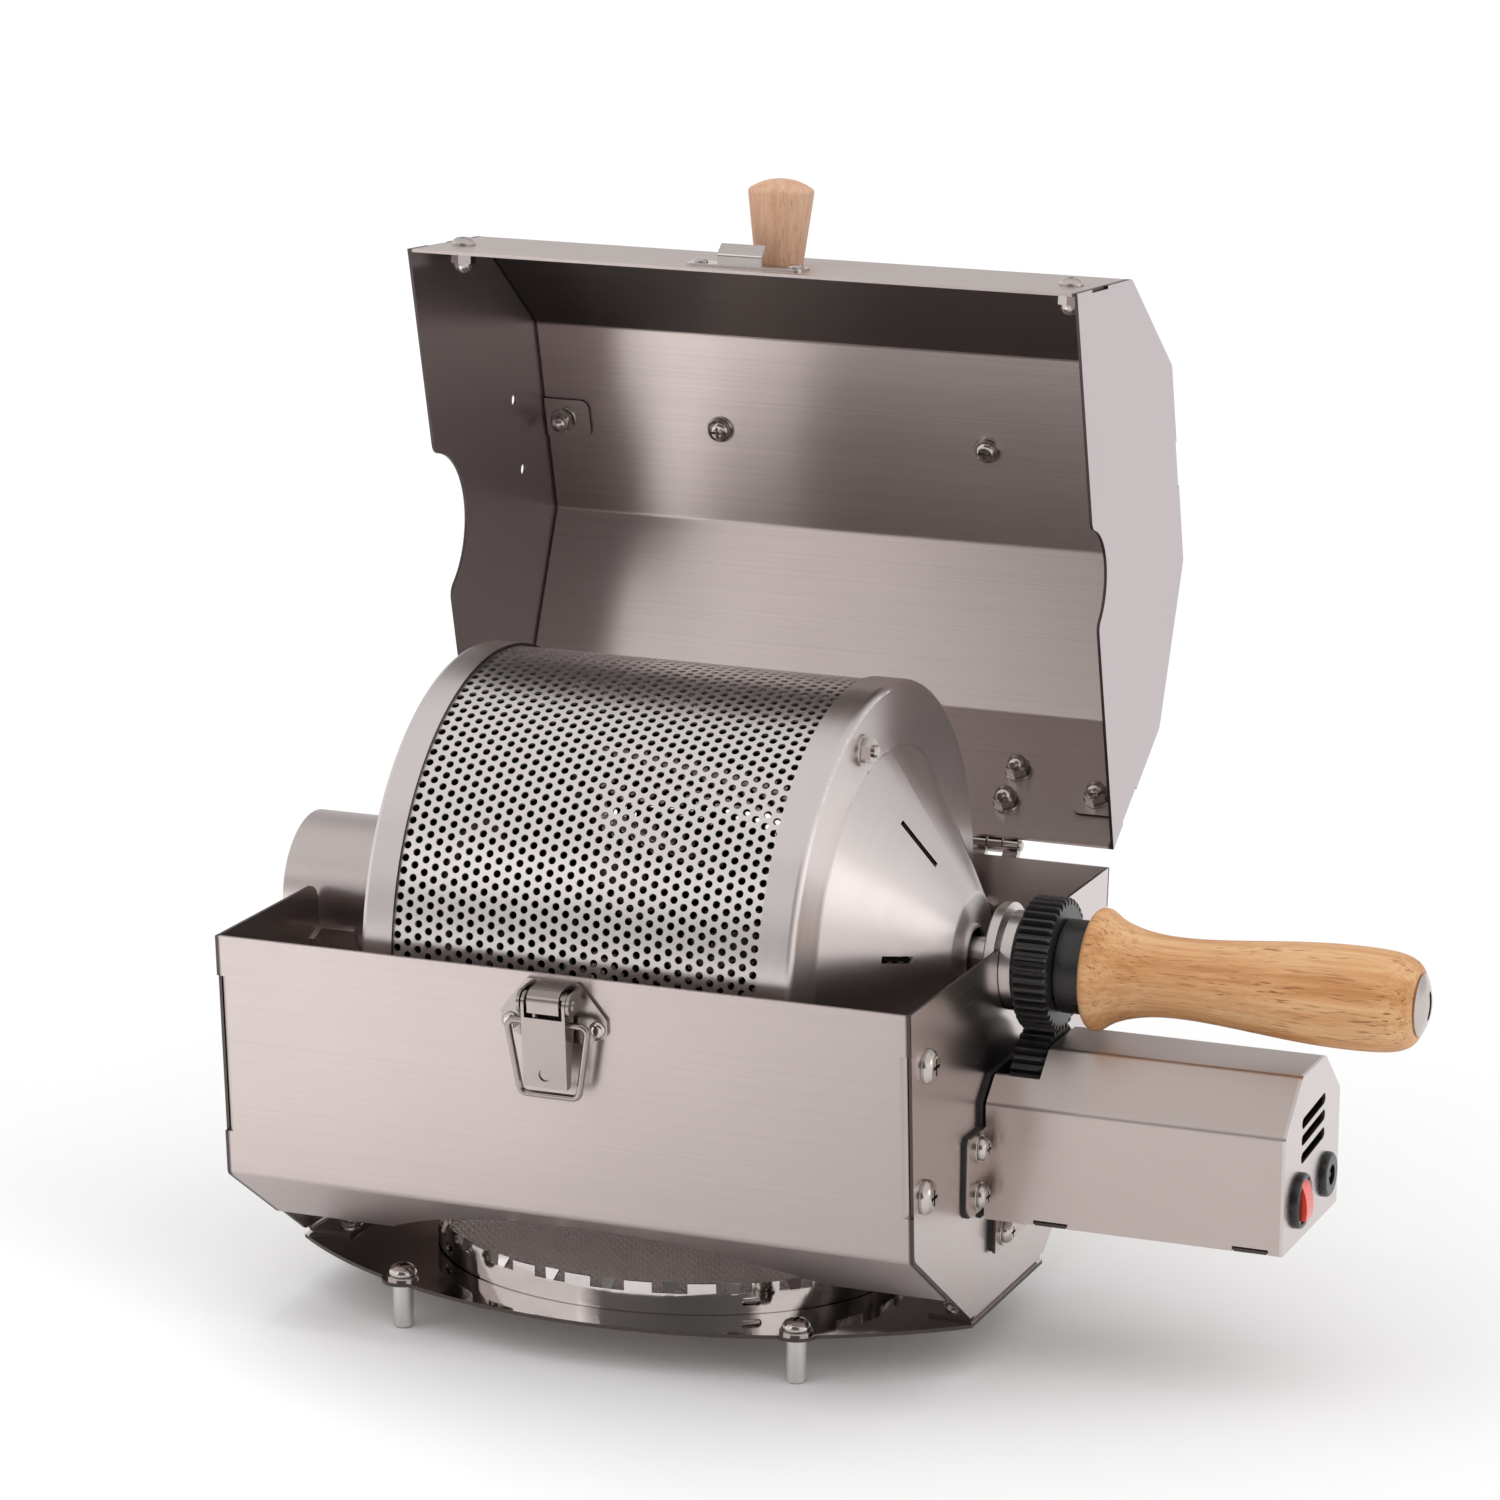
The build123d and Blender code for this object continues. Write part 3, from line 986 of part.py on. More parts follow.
with BuildPart() as gear_motor:
    turned(MOTOR, [(134.5, 0), (134.5, 18.0), (135.0, 18.5), (156.0, 18.5), (156.5, 18.0), (156.5, 17.0), (178.5, 17.0), (180.0, 15.5), (180.0, 6.0), (182.0, 6.0), (182.0, 0)])
    turned(OUTPUT, [(131.0, 0), (131.0, 5.7), (131.3, 6.0), (134.8, 6.0), (134.8, 0)])
    for y in (-9, 9):
        with Locations((182.5, y, GEARBOX_Z)):
            Box(6, 3, 0.8)
    drill((140, 0, PINION_Z), (1, 0, 0), 3.05, 20)
    for y, z in MOTOR_LUGS:
        drill((137, y, z), (1, 0, 0), 1.5, 8)
write(gear_motor, "gear_motor")

with BuildPart() as motor_shaft:
    turned(OUTPUT, [(118.4, 0), (118.4, 2.6), (118.8, 3.0), (149.6, 3.0), (149.6, 0)])
write(motor_shaft, "motor_shaft")

with BuildPart() as motor_pinion:
    with BuildSketch(Plane.YZ.offset(119.0)):
        with Locations((0, PINION_Z)):
            Polygon(*gear_points(90.0 + 180.0 / TEETH), align=None)
            Circle(3.02, mode=Mode.SUBTRACT)
    extrude(amount=10.4)
    with BuildSketch(OUTPUT):
        with BuildLine():
            Polyline((119.0, 0), (119.0, 20.1), (119.8, 20.95), (128.6, 20.95), (129.4, 20.1), (129.4, 0), close=True)
        make_face()
    revolve(axis=Axis((0, 0, PINION_Z), (1, 0, 0)), mode=Mode.INTERSECT)
write(motor_pinion, "motor_pinion")

with BuildPart() as motor_box_screws:
    for y, z in MOTOR_LUGS:
        pan_head((133.0, y, z), (-1, 0, 0), 2.7, 1.8, 1.45, 7.0)
    for x in (140, 205):
        for y in (-15, 15):
            pan_head((x, y, BOX_Z0), (0, 0, -1), 2.7, 1.7, 1.45, 4.5)
write(motor_box_screws, "motor_box_screws")

with BuildPart() as motor_mount_screws:
    for y, z in MOTOR_SCREWS:
        washer((BOX_X0, y, z), (1, 0, 0), 4.6, 2.05, 0.8)
        pan_head((BOX_X0 + 0.85, y, z), (1, 0, 0), 3.8, 2.6, 1.95, 9.0)
write(motor_mount_screws, "motor_mount_screws")

SWITCH = Plane(origin=(0, SWITCH_Y, SWITCH_Z), x_dir=(1, 0, 0), z_dir=(0, -1, 0))
JACK = Plane(origin=(0, JACK_Y, JACK_Z), x_dir=(1, 0, 0), z_dir=(0, -1, 0))

with BuildPart() as switch_body:
    turned(SWITCH, [(199, 0), (199, 7.7), (211.25, 7.7), (211.25, 8.7), (212.3, 8.7), (213.0, 8.4), (213.3, 7.8), (213.3, 0)])
    with Locations((214, SWITCH_Y, SWITCH_Z)):
        Box(18, 8.0, 13.4, mode=Mode.SUBTRACT)
    drill((ROCKER_X, SWITCH_Y, SWITCH_Z), (0, 1, 0), 1.05, 10.6)
    for dz in (-4, 4):
        with Locations((196.2, SWITCH_Y, SWITCH_Z + dz)):
            Box(6, 3, 0.8)
write(switch_body, "switch_body")

_ct, _st = math.cos(math.radians(ROCKER_TILT)), math.sin(math.radians(ROCKER_TILT))


def rocked(x, z):
    """Rocker profile tipped so that its lower end stands out."""
    return (ROCKER_X + x * _ct - z * _st, SWITCH_Z + x * _st + z * _ct)


with BuildPart() as switch_rocker:
    with BuildSketch(Plane.XZ.offset(-(SWITCH_Y + 3.6))):
        with BuildLine():
            Polyline(rocked(2.9, 6.0), rocked(-3.0, 4.6), rocked(-3.0, -4.6), rocked(2.9, -6.0))
            ThreePointArc(rocked(2.9, -6.0), rocked(4.0, 0), rocked(2.9, 6.0))
        make_face()
    extrude(amount=7.2)
    with Locations(Plane(origin=(ROCKER_X, SWITCH_Y, SWITCH_Z), z_dir=(0, 1, 0))):
        Cylinder(1.0, 10.2)
write(switch_rocker, "switch_rocker")

with BuildPart() as dc_jack:
    turned(JACK, [(201, 0), (201, 5.45), (211.25, 5.45), (211.25, 7.1), (212.2, 7.1), (212.8, 6.85), (213.2, 6.2), (213.2, 3.2), (203, 3.2), (203, 1.0), (212.4, 1.0), (212.6, 0.8), (212.6, 0)])
    for dz in (-3, 3):
        with Locations((198.2, JACK_Y, JACK_Z + dz)):
            Box(6, 2.4, 0.8)
write(dc_jack, "dc_jack")

with BuildPart() as jack_nut:
    hex_nut((BOX_X1, JACK_Y, JACK_Z), (-1, 0, 0), 14.0, 2.8, 5.5)
write(jack_nut, "jack_nut")

LEAD_R = 0.7
LEADS = [
    [(185.5, -9, GEARBOX_Z), (190.0, -9, GEARBOX_Z), (189.0, SWITCH_Y, SWITCH_Z + 4), (193.2, SWITCH_Y, SWITCH_Z + 4)],
    [(185.5, 9, GEARBOX_Z), (190.5, 9, GEARBOX_Z), (190.5, JACK_Y, JACK_Z + 3), (195.2, JACK_Y, JACK_Z + 3)],
    [(193.2, SWITCH_Y, SWITCH_Z - 4), (188.0, SWITCH_Y, SWITCH_Z - 4), (189.0, JACK_Y, JACK_Z - 3), (195.2, JACK_Y, JACK_Z - 3)],
]
with BuildPart() as motor_leads:
    for route in LEADS:
        with BuildLine() as lead_path:
            FilletPolyline(*route, radius=2.1)
        with BuildSketch(Plane(origin=route[0], z_dir=tuple(b - a for a, b in zip(route[0], route[1])))):
            Circle(LEAD_R)
        sweep(path=lead_path.wires()[0])
write(motor_leads, "motor_leads")
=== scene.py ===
import math

import bpy
from mathutils import Matrix, Vector


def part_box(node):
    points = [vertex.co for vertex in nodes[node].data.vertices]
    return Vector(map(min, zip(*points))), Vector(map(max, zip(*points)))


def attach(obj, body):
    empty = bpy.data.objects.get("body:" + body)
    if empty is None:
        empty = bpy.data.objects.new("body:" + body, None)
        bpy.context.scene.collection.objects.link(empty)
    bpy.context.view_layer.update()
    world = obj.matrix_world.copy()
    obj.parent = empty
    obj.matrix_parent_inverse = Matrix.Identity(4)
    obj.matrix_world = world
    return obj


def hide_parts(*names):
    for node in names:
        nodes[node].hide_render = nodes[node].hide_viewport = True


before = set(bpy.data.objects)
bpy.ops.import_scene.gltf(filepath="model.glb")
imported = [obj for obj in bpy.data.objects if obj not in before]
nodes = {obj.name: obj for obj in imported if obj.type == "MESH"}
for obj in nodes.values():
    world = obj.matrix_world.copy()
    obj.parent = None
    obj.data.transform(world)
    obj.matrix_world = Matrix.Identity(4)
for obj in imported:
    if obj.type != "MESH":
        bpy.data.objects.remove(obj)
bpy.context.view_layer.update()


scene = bpy.context.scene
scene.view_settings.view_transform = "Standard"

# ------------------------------------------------------------------ geometry
# Metres, the frame of the object: X along the drum towards the handle, Y to the
# rear, Z up, origin between the four pegs.
AXIS_Z = 0.1242
LID_TILT = math.radians(75.0)
WALL_LEAN = math.atan2(6.5, 131.0 - 52.4)


def lid_dir(y, z):
    """A direction in the closed lid's Y and Z, as the open lid has it."""
    c, s = math.cos(LID_TILT), math.sin(LID_TILT)
    return (0.0, y * c + z * s, -y * s + z * c)


# -------------------------------------------------------------------- camera
YAW, PITCH, ROLL = math.radians(21.449), math.radians(13.433), math.radians(0.495)
back = Vector((math.sin(YAW) * math.cos(PITCH), -math.cos(YAW) * math.cos(PITCH), math.sin(PITCH)))
right = Vector((math.cos(YAW), math.sin(YAW), 0.0))
up = back.cross(right)
cam_right = right * math.cos(ROLL) + up * math.sin(ROLL)
cam_up = right * -math.sin(ROLL) + up * math.cos(ROLL)
cam_data = bpy.data.cameras.new("view")
cam_data.sensor_width = 36.0
cam_data.lens = 5621.3 / 1500.0 * 36.0
cam_data.clip_start, cam_data.clip_end = 0.05, 60.0
cam = bpy.data.objects.new("view", cam_data)
scene.collection.objects.link(cam)
turn = Matrix((cam_right, cam_up, back)).transposed().to_4x4()
cam.matrix_world = Matrix.Translation((0.6508, -1.5914, 0.5908)) @ turn
scene.camera = cam

# ----------------------------------------------------------------- materials


class Net:
    """A material's node tree, with short ways to add and link nodes."""

    def __init__(self, name):
        self.mat = bpy.data.materials.new(name)
        self.mat.use_nodes = True
        self.tree = self.mat.node_tree
        self.tree.nodes.clear()
        self.out = self.add("ShaderNodeOutputMaterial")
        self.bsdf = self.add("ShaderNodeBsdfPrincipled")
        self.link(self.bsdf.outputs[0], self.out.inputs[0])

    def add(self, kind, **props):
        n = self.tree.nodes.new(kind)
        for k, v in props.items():
            setattr(n, k, v)
        return n

    def link(self, a, b):
        self.tree.links.new(a, b)

    def put(self, socket, value):
        if hasattr(value, "links"):
            self.link(value, socket)
        else:
            socket.default_value = value

    def set(self, **values):
        names = dict(color="Base Color", metal="Metallic", rough="Roughness", aniso="Anisotropic", coat="Coat Weight", coat_rough="Coat Roughness", spec="Specular IOR Level", sss="Subsurface Weight", sss_scale="Subsurface Scale", sss_radius="Subsurface Radius", normal="Normal", tangent="Tangent", glow="Emission Color", glow_strength="Emission Strength")
        for k, v in values.items():
            self.put(self.bsdf.inputs[names[k]], v)

    def math(self, op, a, b=0.0, c=0.0, clamp=False):
        n = self.add("ShaderNodeMath", operation=op, use_clamp=clamp)
        self.put(n.inputs[0], a)
        self.put(n.inputs[1], b)
        if len(n.inputs) > 2:
            self.put(n.inputs[2], c)
        return n.outputs[0]

    def vec(self, op, a, b=(0, 0, 0)):
        n = self.add("ShaderNodeVectorMath", operation=op)
        self.put(n.inputs[0], a)
        self.put(n.inputs[1], b)
        return n.outputs["Value"] if op in ("DOT_PRODUCT", "LENGTH") else n.outputs["Vector"]

    def xyz(self, x, y, z):
        n = self.add("ShaderNodeCombineXYZ")
        for s, v in zip(n.inputs, (x, y, z)):
            self.put(s, v)
        return n.outputs[0]

    def place(self):
        return self.add("ShaderNodeTexCoord").outputs["Object"]

    def noise(self, vector, scale=1.0, detail=2.0, rough=0.5, distort=0.0):
        n = self.add("ShaderNodeTexNoise")
        self.put(n.inputs["Vector"], vector)
        n.inputs["Scale"].default_value = scale
        n.inputs["Detail"].default_value = detail
        n.inputs["Roughness"].default_value = rough
        n.inputs["Distortion"].default_value = distort
        return n.outputs["Fac"]

    def ramp(self, value, stops):
        n = self.add("ShaderNodeValToRGB")
        self.put(n.inputs[0], value)
        e = n.color_ramp.elements
        e[0].position, e[0].color = stops[0][0], (*stops[0][1], 1.0)
        e[1].position, e[1].color = stops[-1][0], (*stops[-1][1], 1.0)
        for p, c in stops[1:-1]:
            k = e.new(p)
            k.color = (*c, 1.0)
        return n.outputs[0]

    def span(self, value, low, high, a=0.0, b=1.0):
        n = self.add("ShaderNodeMapRange")
        n.clamp = True
        self.put(n.inputs["Value"], value)
        n.inputs["From Min"].default_value = low
        n.inputs["From Max"].default_value = high
        n.inputs["To Min"].default_value = a
        n.inputs["To Max"].default_value = b
        return n.outputs[0]

    def mix(self, fac, a, b, kind="MIX"):
        n = self.add("ShaderNodeMix", data_type="RGBA", blend_type=kind)
        self.put(n.inputs[0], fac)
        self.put(n.inputs[6], a)
        self.put(n.inputs[7], b)
        return n.outputs[2]

    def bump(self, height, strength, distance):
        n = self.add("ShaderNodeBump")
        n.inputs["Strength"].default_value = strength
        n.inputs["Distance"].default_value = distance
        self.put(n.inputs["Height"], height)
        return n.outputs[0]

    def normal(self):
        return self.add("ShaderNodeNewGeometry").outputs["Normal"]

    def to_world(self, v):
        n = self.add("ShaderNodeVectorTransform", vector_type="VECTOR", convert_from="OBJECT", convert_to="WORLD")
        self.put(n.inputs[0], v)
        return n.outputs[0]


def rgb(*c):
    """Linear colour from 8-bit display values."""
    return tuple((v / 255 / 12.92) if v <= 10 else ((v / 255 + 0.055) / 1.055) ** 2.4 for v in c)


def cross3(a, b):
    return (a[1] * b[2] - a[2] * b[1], a[2] * b[0] - a[0] * b[2], a[0] * b[1] - a[1] * b[0])


def brushed(name, color, grain, rough=0.4, aniso=0.85, streak=0.02, fine=5200.0, length=9.0, smudge=0.02, seam=None, seam_width=0.0010):
    """Sheet brushed along a fixed direction, darkened in a narrow band near each of its two ends."""
    m = Net(name)
    g = Vector(grain).normalized()
    h = Vector((0, 0, 1)) if abs(g.z) < 0.8 else Vector((0, 1, 0))
    a = g.cross(h).normalized()
    b = g.cross(a).normalized()
    p = m.place()
    u, v, w = (m.vec("DOT_PRODUCT", p, tuple(d)) for d in (g, a, b))
    lines = m.noise(m.xyz(m.math("MULTIPLY", u, length), m.math("MULTIPLY", v, fine), m.math("MULTIPLY", w, fine)), 1.0, 3.0, 0.6)
    bands = m.noise(m.xyz(m.math("MULTIPLY", u, length * 0.2), m.math("MULTIPLY", v, fine * 0.16), m.math("MULTIPLY", w, fine * 0.16)), 1.0, 2.0, 0.5)
    cloud = m.noise(p, 14.0, 3.0, 0.55)
    grainy = m.math("ADD", m.math("MULTIPLY", lines, 0.72), m.math("MULTIPLY", bands, 0.28))
    low = tuple(c * (1 - streak * 2.2) for c in color)
    high = tuple(min(1.0, c * (1 + streak * 1.8)) for c in color)
    tone = m.ramp(grainy, [(0.30, low), (0.5, color), (0.70, high)])
    tone = m.mix(m.span(cloud, 0.35, 0.75, 0.0, smudge * 2), tone, tuple(c * 0.86 for c in color) + (1.0,))
    # a narrow dark band along each end, where the sheet meets the end panels
    if seam:
        near = m.span(m.math("ABSOLUTE", u), seam - seam_width, seam - seam_width * 0.55, 0.0, 0.93)
        tone = m.mix(near, tone, tuple(c * 0.10 for c in color) + (1.0,))
    r = m.math("ADD", m.span(grainy, 0.3, 0.7, rough - 0.02, rough + 0.025), m.span(cloud, 0.3, 0.7, -smudge * 0.5, smudge))
    across = m.vec("CROSS_PRODUCT", m.normal(), m.to_world(m.xyz(*g)))
    across = m.vec("ADD", across, (0.0021, 0.0013, 0.0017))
    m.set(color=tone, metal=1.0, rough=r, aniso=aniso, tangent=across, normal=m.bump(lines, 0.05, 0.00006))
    return m.mat


def turned(name, color, rough=0.36, aniso=0.8, streak=0.02, fine=3400.0, centre=(0.0, 0.0, AXIS_Z), axis="X", smudge=0.03):
    """Metal finished in a lathe: fine rings about an axis."""
    m = Net(name)
    p = m.vec("SUBTRACT", m.place(), centre)
    s = m.add("ShaderNodeSeparateXYZ")
    m.link(p, s.inputs[0])
    x, y, z = s.outputs
    if axis == "Z":
        x, y, z = z, x, y
    r = m.math("SQRT", m.math("ADD", m.math("MULTIPLY", y, y), m.math("MULTIPLY", z, z)))
    safe = m.math("MAXIMUM", r, 0.0005)
    k = m.math("MULTIPLY", m.math("ADD", x, m.math("MULTIPLY", r, 0.83)), fine)
    ring = m.noise(m.xyz(k, m.math("MULTIPLY", m.math("DIVIDE", y, safe), 1.1), m.math("MULTIPLY", m.math("DIVIDE", z, safe), 1.1)), 1.0, 3.0, 0.6)
    wide = m.noise(m.xyz(m.math("MULTIPLY", k, 0.12), m.math("MULTIPLY", m.math("DIVIDE", y, safe), 0.6), m.math("MULTIPLY", m.math("DIVIDE", z, safe), 0.6)), 1.0, 2.0, 0.5)
    cloud = m.noise(p, 22.0, 3.0, 0.55)
    grainy = m.math("ADD", m.math("MULTIPLY", ring, 0.65), m.math("MULTIPLY", wide, 0.35))
    low = tuple(c * (1 - streak * 2.2) for c in color)
    high = tuple(min(1.0, c * (1 + streak * 1.6)) for c in color)
    tone = m.ramp(grainy, [(0.30, low), (0.5, color), (0.70, high)])
    tone = m.mix(m.span(cloud, 0.35, 0.75, 0.0, smudge * 2), tone, tuple(c * 0.86 for c in color) + (1.0,))
    rr = m.math("ADD", m.span(grainy, 0.3, 0.7, rough - 0.025, rough + 0.03), m.span(cloud, 0.3, 0.7, -smudge * 0.5, smudge))
    neg = m.math("MULTIPLY", z, -1.0)
    around = m.xyz(0.0, neg, y) if axis == "X" else m.xyz(neg, y, 0.0)
    across = m.vec("CROSS_PRODUCT", m.normal(), m.to_world(around))
    across = m.vec("ADD", across, (0.000021, 0.000013, 0.000017))
    m.set(color=tone, metal=1.0, rough=rr, aniso=aniso, tangent=across, normal=m.bump(ring, 0.05, 0.00006))
    return m.mat


def bright(name, color, rough=0.14, smudge=0.06, scratch=0.04):
    """Polished or plated metal with faint scratches and handling marks."""
    m = Net(name)
    p = m.place()
    cloud = m.noise(p, 45.0, 4.0, 0.6)
    line = m.noise(m.vec("MULTIPLY", p, (60.0, 900.0, 900.0)), 1.0, 2.0, 0.5, 0.4)
    cross = m.noise(m.vec("MULTIPLY", p, (900.0, 60.0, 700.0)), 1.0, 2.0, 0.5, 0.4)
    marks = m.math("MAXIMUM", line, cross)
    tone = m.ramp(cloud, [(0.3, tuple(c * 0.92 for c in color)), (0.7, tuple(min(1, c * 1.05) for c in color))])
    r = m.math("ADD", m.span(cloud, 0.3, 0.75, rough - smudge * 0.5, rough + smudge), m.span(marks, 0.62, 0.8, 0.0, scratch))
    m.set(color=tone, metal=1.0, rough=r, normal=m.bump(marks, 0.03, 0.00005))
    return m.mat


def moulded(name, color, rough=0.42, grain=1400.0, depth=0.12, spread=0.35, coat=0.0):
    """Plastic or rubber with a fine moulded grain."""
    m = Net(name)
    p = m.place()
    fine = m.noise(p, grain, 2.0, 0.6)
    cloud = m.noise(p, 60.0, 3.0, 0.55)
    tone = m.ramp(cloud, [(0.3, tuple(c * (1 - spread * 0.5) for c in color)), (0.7, tuple(min(1, c * (1 + spread)) for c in color))])
    m.set(color=tone, rough=m.math("ADD", m.span(fine, 0.3, 0.7, rough - 0.06, rough + 0.06), m.span(cloud, 0.3, 0.7, -0.03, 0.05)), coat=coat, normal=m.bump(fine, depth, 0.00015))
    return m.mat


def timber(name, stops, fleck, grain, rough=0.46, pores=1.0, centre=(0, 0, 0), coat=0.05):
    """Wood with its grain along a direction: soft straight figure, streaks and short dark pores."""
    m = Net(name)
    g = Vector(grain).normalized()
    h = Vector((0, 0, 1)) if abs(g.z) < 0.8 else Vector((0, 1, 0))
    a = g.cross(h).normalized()
    b = g.cross(a).normalized()
    p = m.vec("SUBTRACT", m.place(), centre)
    u, v, w = (m.vec("DOT_PRODUCT", p, tuple(d)) for d in (g, a, b))

    def at(k, n, o=0.0):
        return m.xyz(m.math("MULTIPLY_ADD", u, k, o), m.math("MULTIPLY", v, n), m.math("MULTIPLY", w, n))

    figure = m.noise(at(5.0, 95.0), 1.0, 2.0, 0.5)
    streak = m.noise(at(18.0, 520.0, 3.1), 1.0, 3.0, 0.6)
    hair = m.noise(at(70.0, 2600.0, 7.7), 1.0, 2.0, 0.55)
    body = m.math("ADD", m.math("MULTIPLY", figure, 0.45), m.math("MULTIPLY", streak, 0.55))
    tone = m.ramp(body, stops)
    dash = m.noise(at(105.0, 1500.0, 1.3), 1.0, 1.5, 0.5)
    patch = m.noise(at(16.0, 150.0, 5.0), 1.0, 2.0, 0.5)
    dark = m.math("MULTIPLY", m.span(dash, 0.58, 0.70), m.span(patch, 0.38, 0.62, 0.25, 1.0))
    dark = m.math("MULTIPLY", dark, pores)
    tone = m.mix(dark, tone, (*fleck, 1.0))
    tone = m.mix(m.span(hair, 0.45, 0.75, 0.0, 0.20 * pores), tone, (*fleck, 1.0))
    height = m.math("SUBTRACT", m.math("MULTIPLY", streak, 0.4), dark)
    m.set(color=tone, rough=m.math("ADD", m.span(streak, 0.3, 0.7, rough - 0.05, rough + 0.07), m.math("MULTIPLY", dark, 0.12)), coat=coat, coat_rough=0.35, spec=0.3, normal=m.bump(height, 0.14, 0.00018))
    return m.mat


STEEL = (0.61, 0.53, 0.505)
sheet_x = brushed("brushed_sheet_long", STEEL, (1, 0, 0), rough=0.30, aniso=0.80)
# painted shade: the front panel is a darker copy of the long brushed sheet, toned down against its reflection of the
# bright floor
sheet_front_shaded = brushed("brushed_sheet_front_shaded", (0.47, 0.405, 0.392), (1, 0, 0), rough=0.30, aniso=0.80, streak=0.03, seam=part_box("front_panel")[1].x, seam_width=0.0017)
sheet_motor = brushed("brushed_sheet_motor", (0.57, 0.489, 0.462), (1, 0, 0), rough=0.30, aniso=0.80)
sheet_y = brushed("brushed_sheet_end", (0.62, 0.555, 0.54), (0, 1, 0), rough=0.24, aniso=0.5, streak=0.012)
# painted shade: the lid ends are a darker copy of the lid's steel, toned down against their reflection of the bright
# floor
sheet_lid_end_shaded = brushed("brushed_sheet_lid_end_shaded", (0.53, 0.467, 0.481), lid_dir(1, 0), rough=0.33, aniso=0.5, streak=0.012)
sheet_lid = brushed("brushed_sheet_lid", STEEL, (1, 0, 0), rough=0.31, aniso=0.86, streak=0.06, seam=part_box("lid_shell")[1].x)
# painted shade: a darkened copy of the lid's steel for the inside of its front slope
lid_sheet_painted_shade = brushed("brushed_lid_painted_shade", tuple(c * 0.28 for c in STEEL), (1, 0, 0), rough=0.31, aniso=0.86, streak=0.06, seam=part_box("lid_shell")[1].x)
spun = turned("spun_drum_steel", (0.74, 0.675, 0.66), rough=0.36, aniso=0.85)
neck = turned("spun_neck_steel", (0.62, 0.55, 0.535), rough=0.36, aniso=0.7)
perf = turned("perforated_sheet_steel", (0.77, 0.715, 0.705), rough=0.30, aniso=0.55, streak=0.02)
# partly painted shade: near black, so the drum's inside reads as lying in shadow
seasoned_and_shade = turned("seasoned_and_shaded_drum_inside", (0.012, 0.010, 0.009), rough=0.55, aniso=0.2, streak=0.10, smudge=0.10)
mirror = bright("polished_plate", (0.60, 0.555, 0.54), rough=0.05, smudge=0.02, scratch=0.03)
collar_mat = bright("polished_collar", (0.72, 0.675, 0.66), rough=0.06, smudge=0.03)
plated = bright("bright_hardware", (0.54, 0.49, 0.47), rough=0.15)
latch_mat = bright("latch_steel", (0.32, 0.278, 0.263), rough=0.22, smudge=0.06)
pin_mat = bright("peg_zinc", (0.66, 0.65, 0.64), rough=0.40, smudge=0.08)
bush_mat = turned("turned_bush", (0.64, 0.60, 0.58), rough=0.30, aniso=0.6)
zinc = bright("motor_zinc", (0.52, 0.52, 0.51), rough=0.34, smudge=0.10)
nylon = moulded("black_nylon", (0.020, 0.018, 0.018), rough=0.32, spread=0.25)
plastic = moulded("black_plastic", (0.014, 0.013, 0.014), rough=0.26, grain=2200.0, depth=0.05)
rubber = moulded("black_rubber", (0.012, 0.011, 0.011), rough=0.62, grain=900.0, depth=0.25)
leads_mat = moulded("lead_insulation", (0.30, 0.03, 0.02), rough=0.4)
red = moulded("red_rocker", (0.72, 0.035, 0.012), rough=0.20, grain=2600.0, depth=0.03, spread=0.25, coat=0.5)
oak = timber("oiled_oak", [(0.36, rgb(190, 132, 81)), (0.5, rgb(210, 157, 108)), (0.64, rgb(222, 178, 131))], rgb(128, 78, 42), (1, 0, 0), centre=(0.19, 0.0, AXIS_Z))
knob_axis = lid_dir(-math.cos(math.atan2(17.5, 53.1)), math.sin(math.atan2(17.5, 53.1)))
beech = timber("bare_beech", [(0.36, rgb(195, 149, 118)), (0.5, rgb(207, 164, 135)), (0.64, rgb(216, 179, 152))], rgb(158, 108, 78), knob_axis, rough=0.52, pores=0.5, coat=0.0)
wire_mat = bright("mesh_wire", (0.92, 0.80, 0.76), rough=0.36, smudge=0.12)
# dark sheared edge, also painted shade for the gaps between parts
cut_edge_and_gap_shade = bright("cut_sheet_edge_and_gap_shade", (0.09, 0.075, 0.07), rough=0.45, smudge=0.08)

finish = {}
for n in "front_panel rear_panel tube_saddle motor_cover motor_bottom_plate motor_bracket".split():
    finish[n] = sheet_x
for n in "left_end_panel right_end_panel motor_end_plate".split():
    finish[n] = sheet_y
finish["front_panel"] = sheet_front_shaded
finish["motor_cover"] = sheet_motor
finish["lid_shell"] = sheet_lid
for n in "lid_left_end lid_right_end".split():
    finish[n] = sheet_lid_end_shaded
for n in "drum_left_cap drum_cone".split():
    finish[n] = spun
finish["drum_tube"] = neck
finish["drum_vanes"] = seasoned_and_shade
finish["base_plate"] = mirror
finish["burner_collar"] = collar_mat
for n in "peg_screws panel_screws housing_nuts housing_rivets hinge_body_leaves hinge_pins hinge_body_screws motor_box_screws motor_mount_screws lid_catch catch_rivets lid_screws lid_nuts hinge_lid_leaves hinge_lid_screws lid_top_screws lid_top_nuts drum_fasteners handle_end_cap".split():
    finish[n] = plated
finish["base_pegs"] = pin_mat
for n in "drum_shaft shaft_bush motor_shaft".split():
    finish[n] = bush_mat
for n in "latch_base latch_pin latch_lever latch_bail".split():
    finish[n] = latch_mat
for n in "drive_gear handle_hub motor_pinion".split():
    finish[n] = nylon
for n in "switch_body dc_jack jack_nut".split():
    finish[n] = plastic
finish["switch_rocker"] = red
finish["motor_gasket"] = rubber
finish["gear_motor"] = zinc
finish["motor_leads"] = leads_mat
finish["wood_handle"] = oak
finish["lid_knob"] = beech
for n, mat in finish.items():
    o = nodes[n]
    if not o.material_slots:
        o.data.materials.append(mat)
    for s in o.material_slots:
        s.material = mat

# The sheared edges of the sheets are darker than their faces, and the same dark edge is painted shade in the gaps
# between parts.


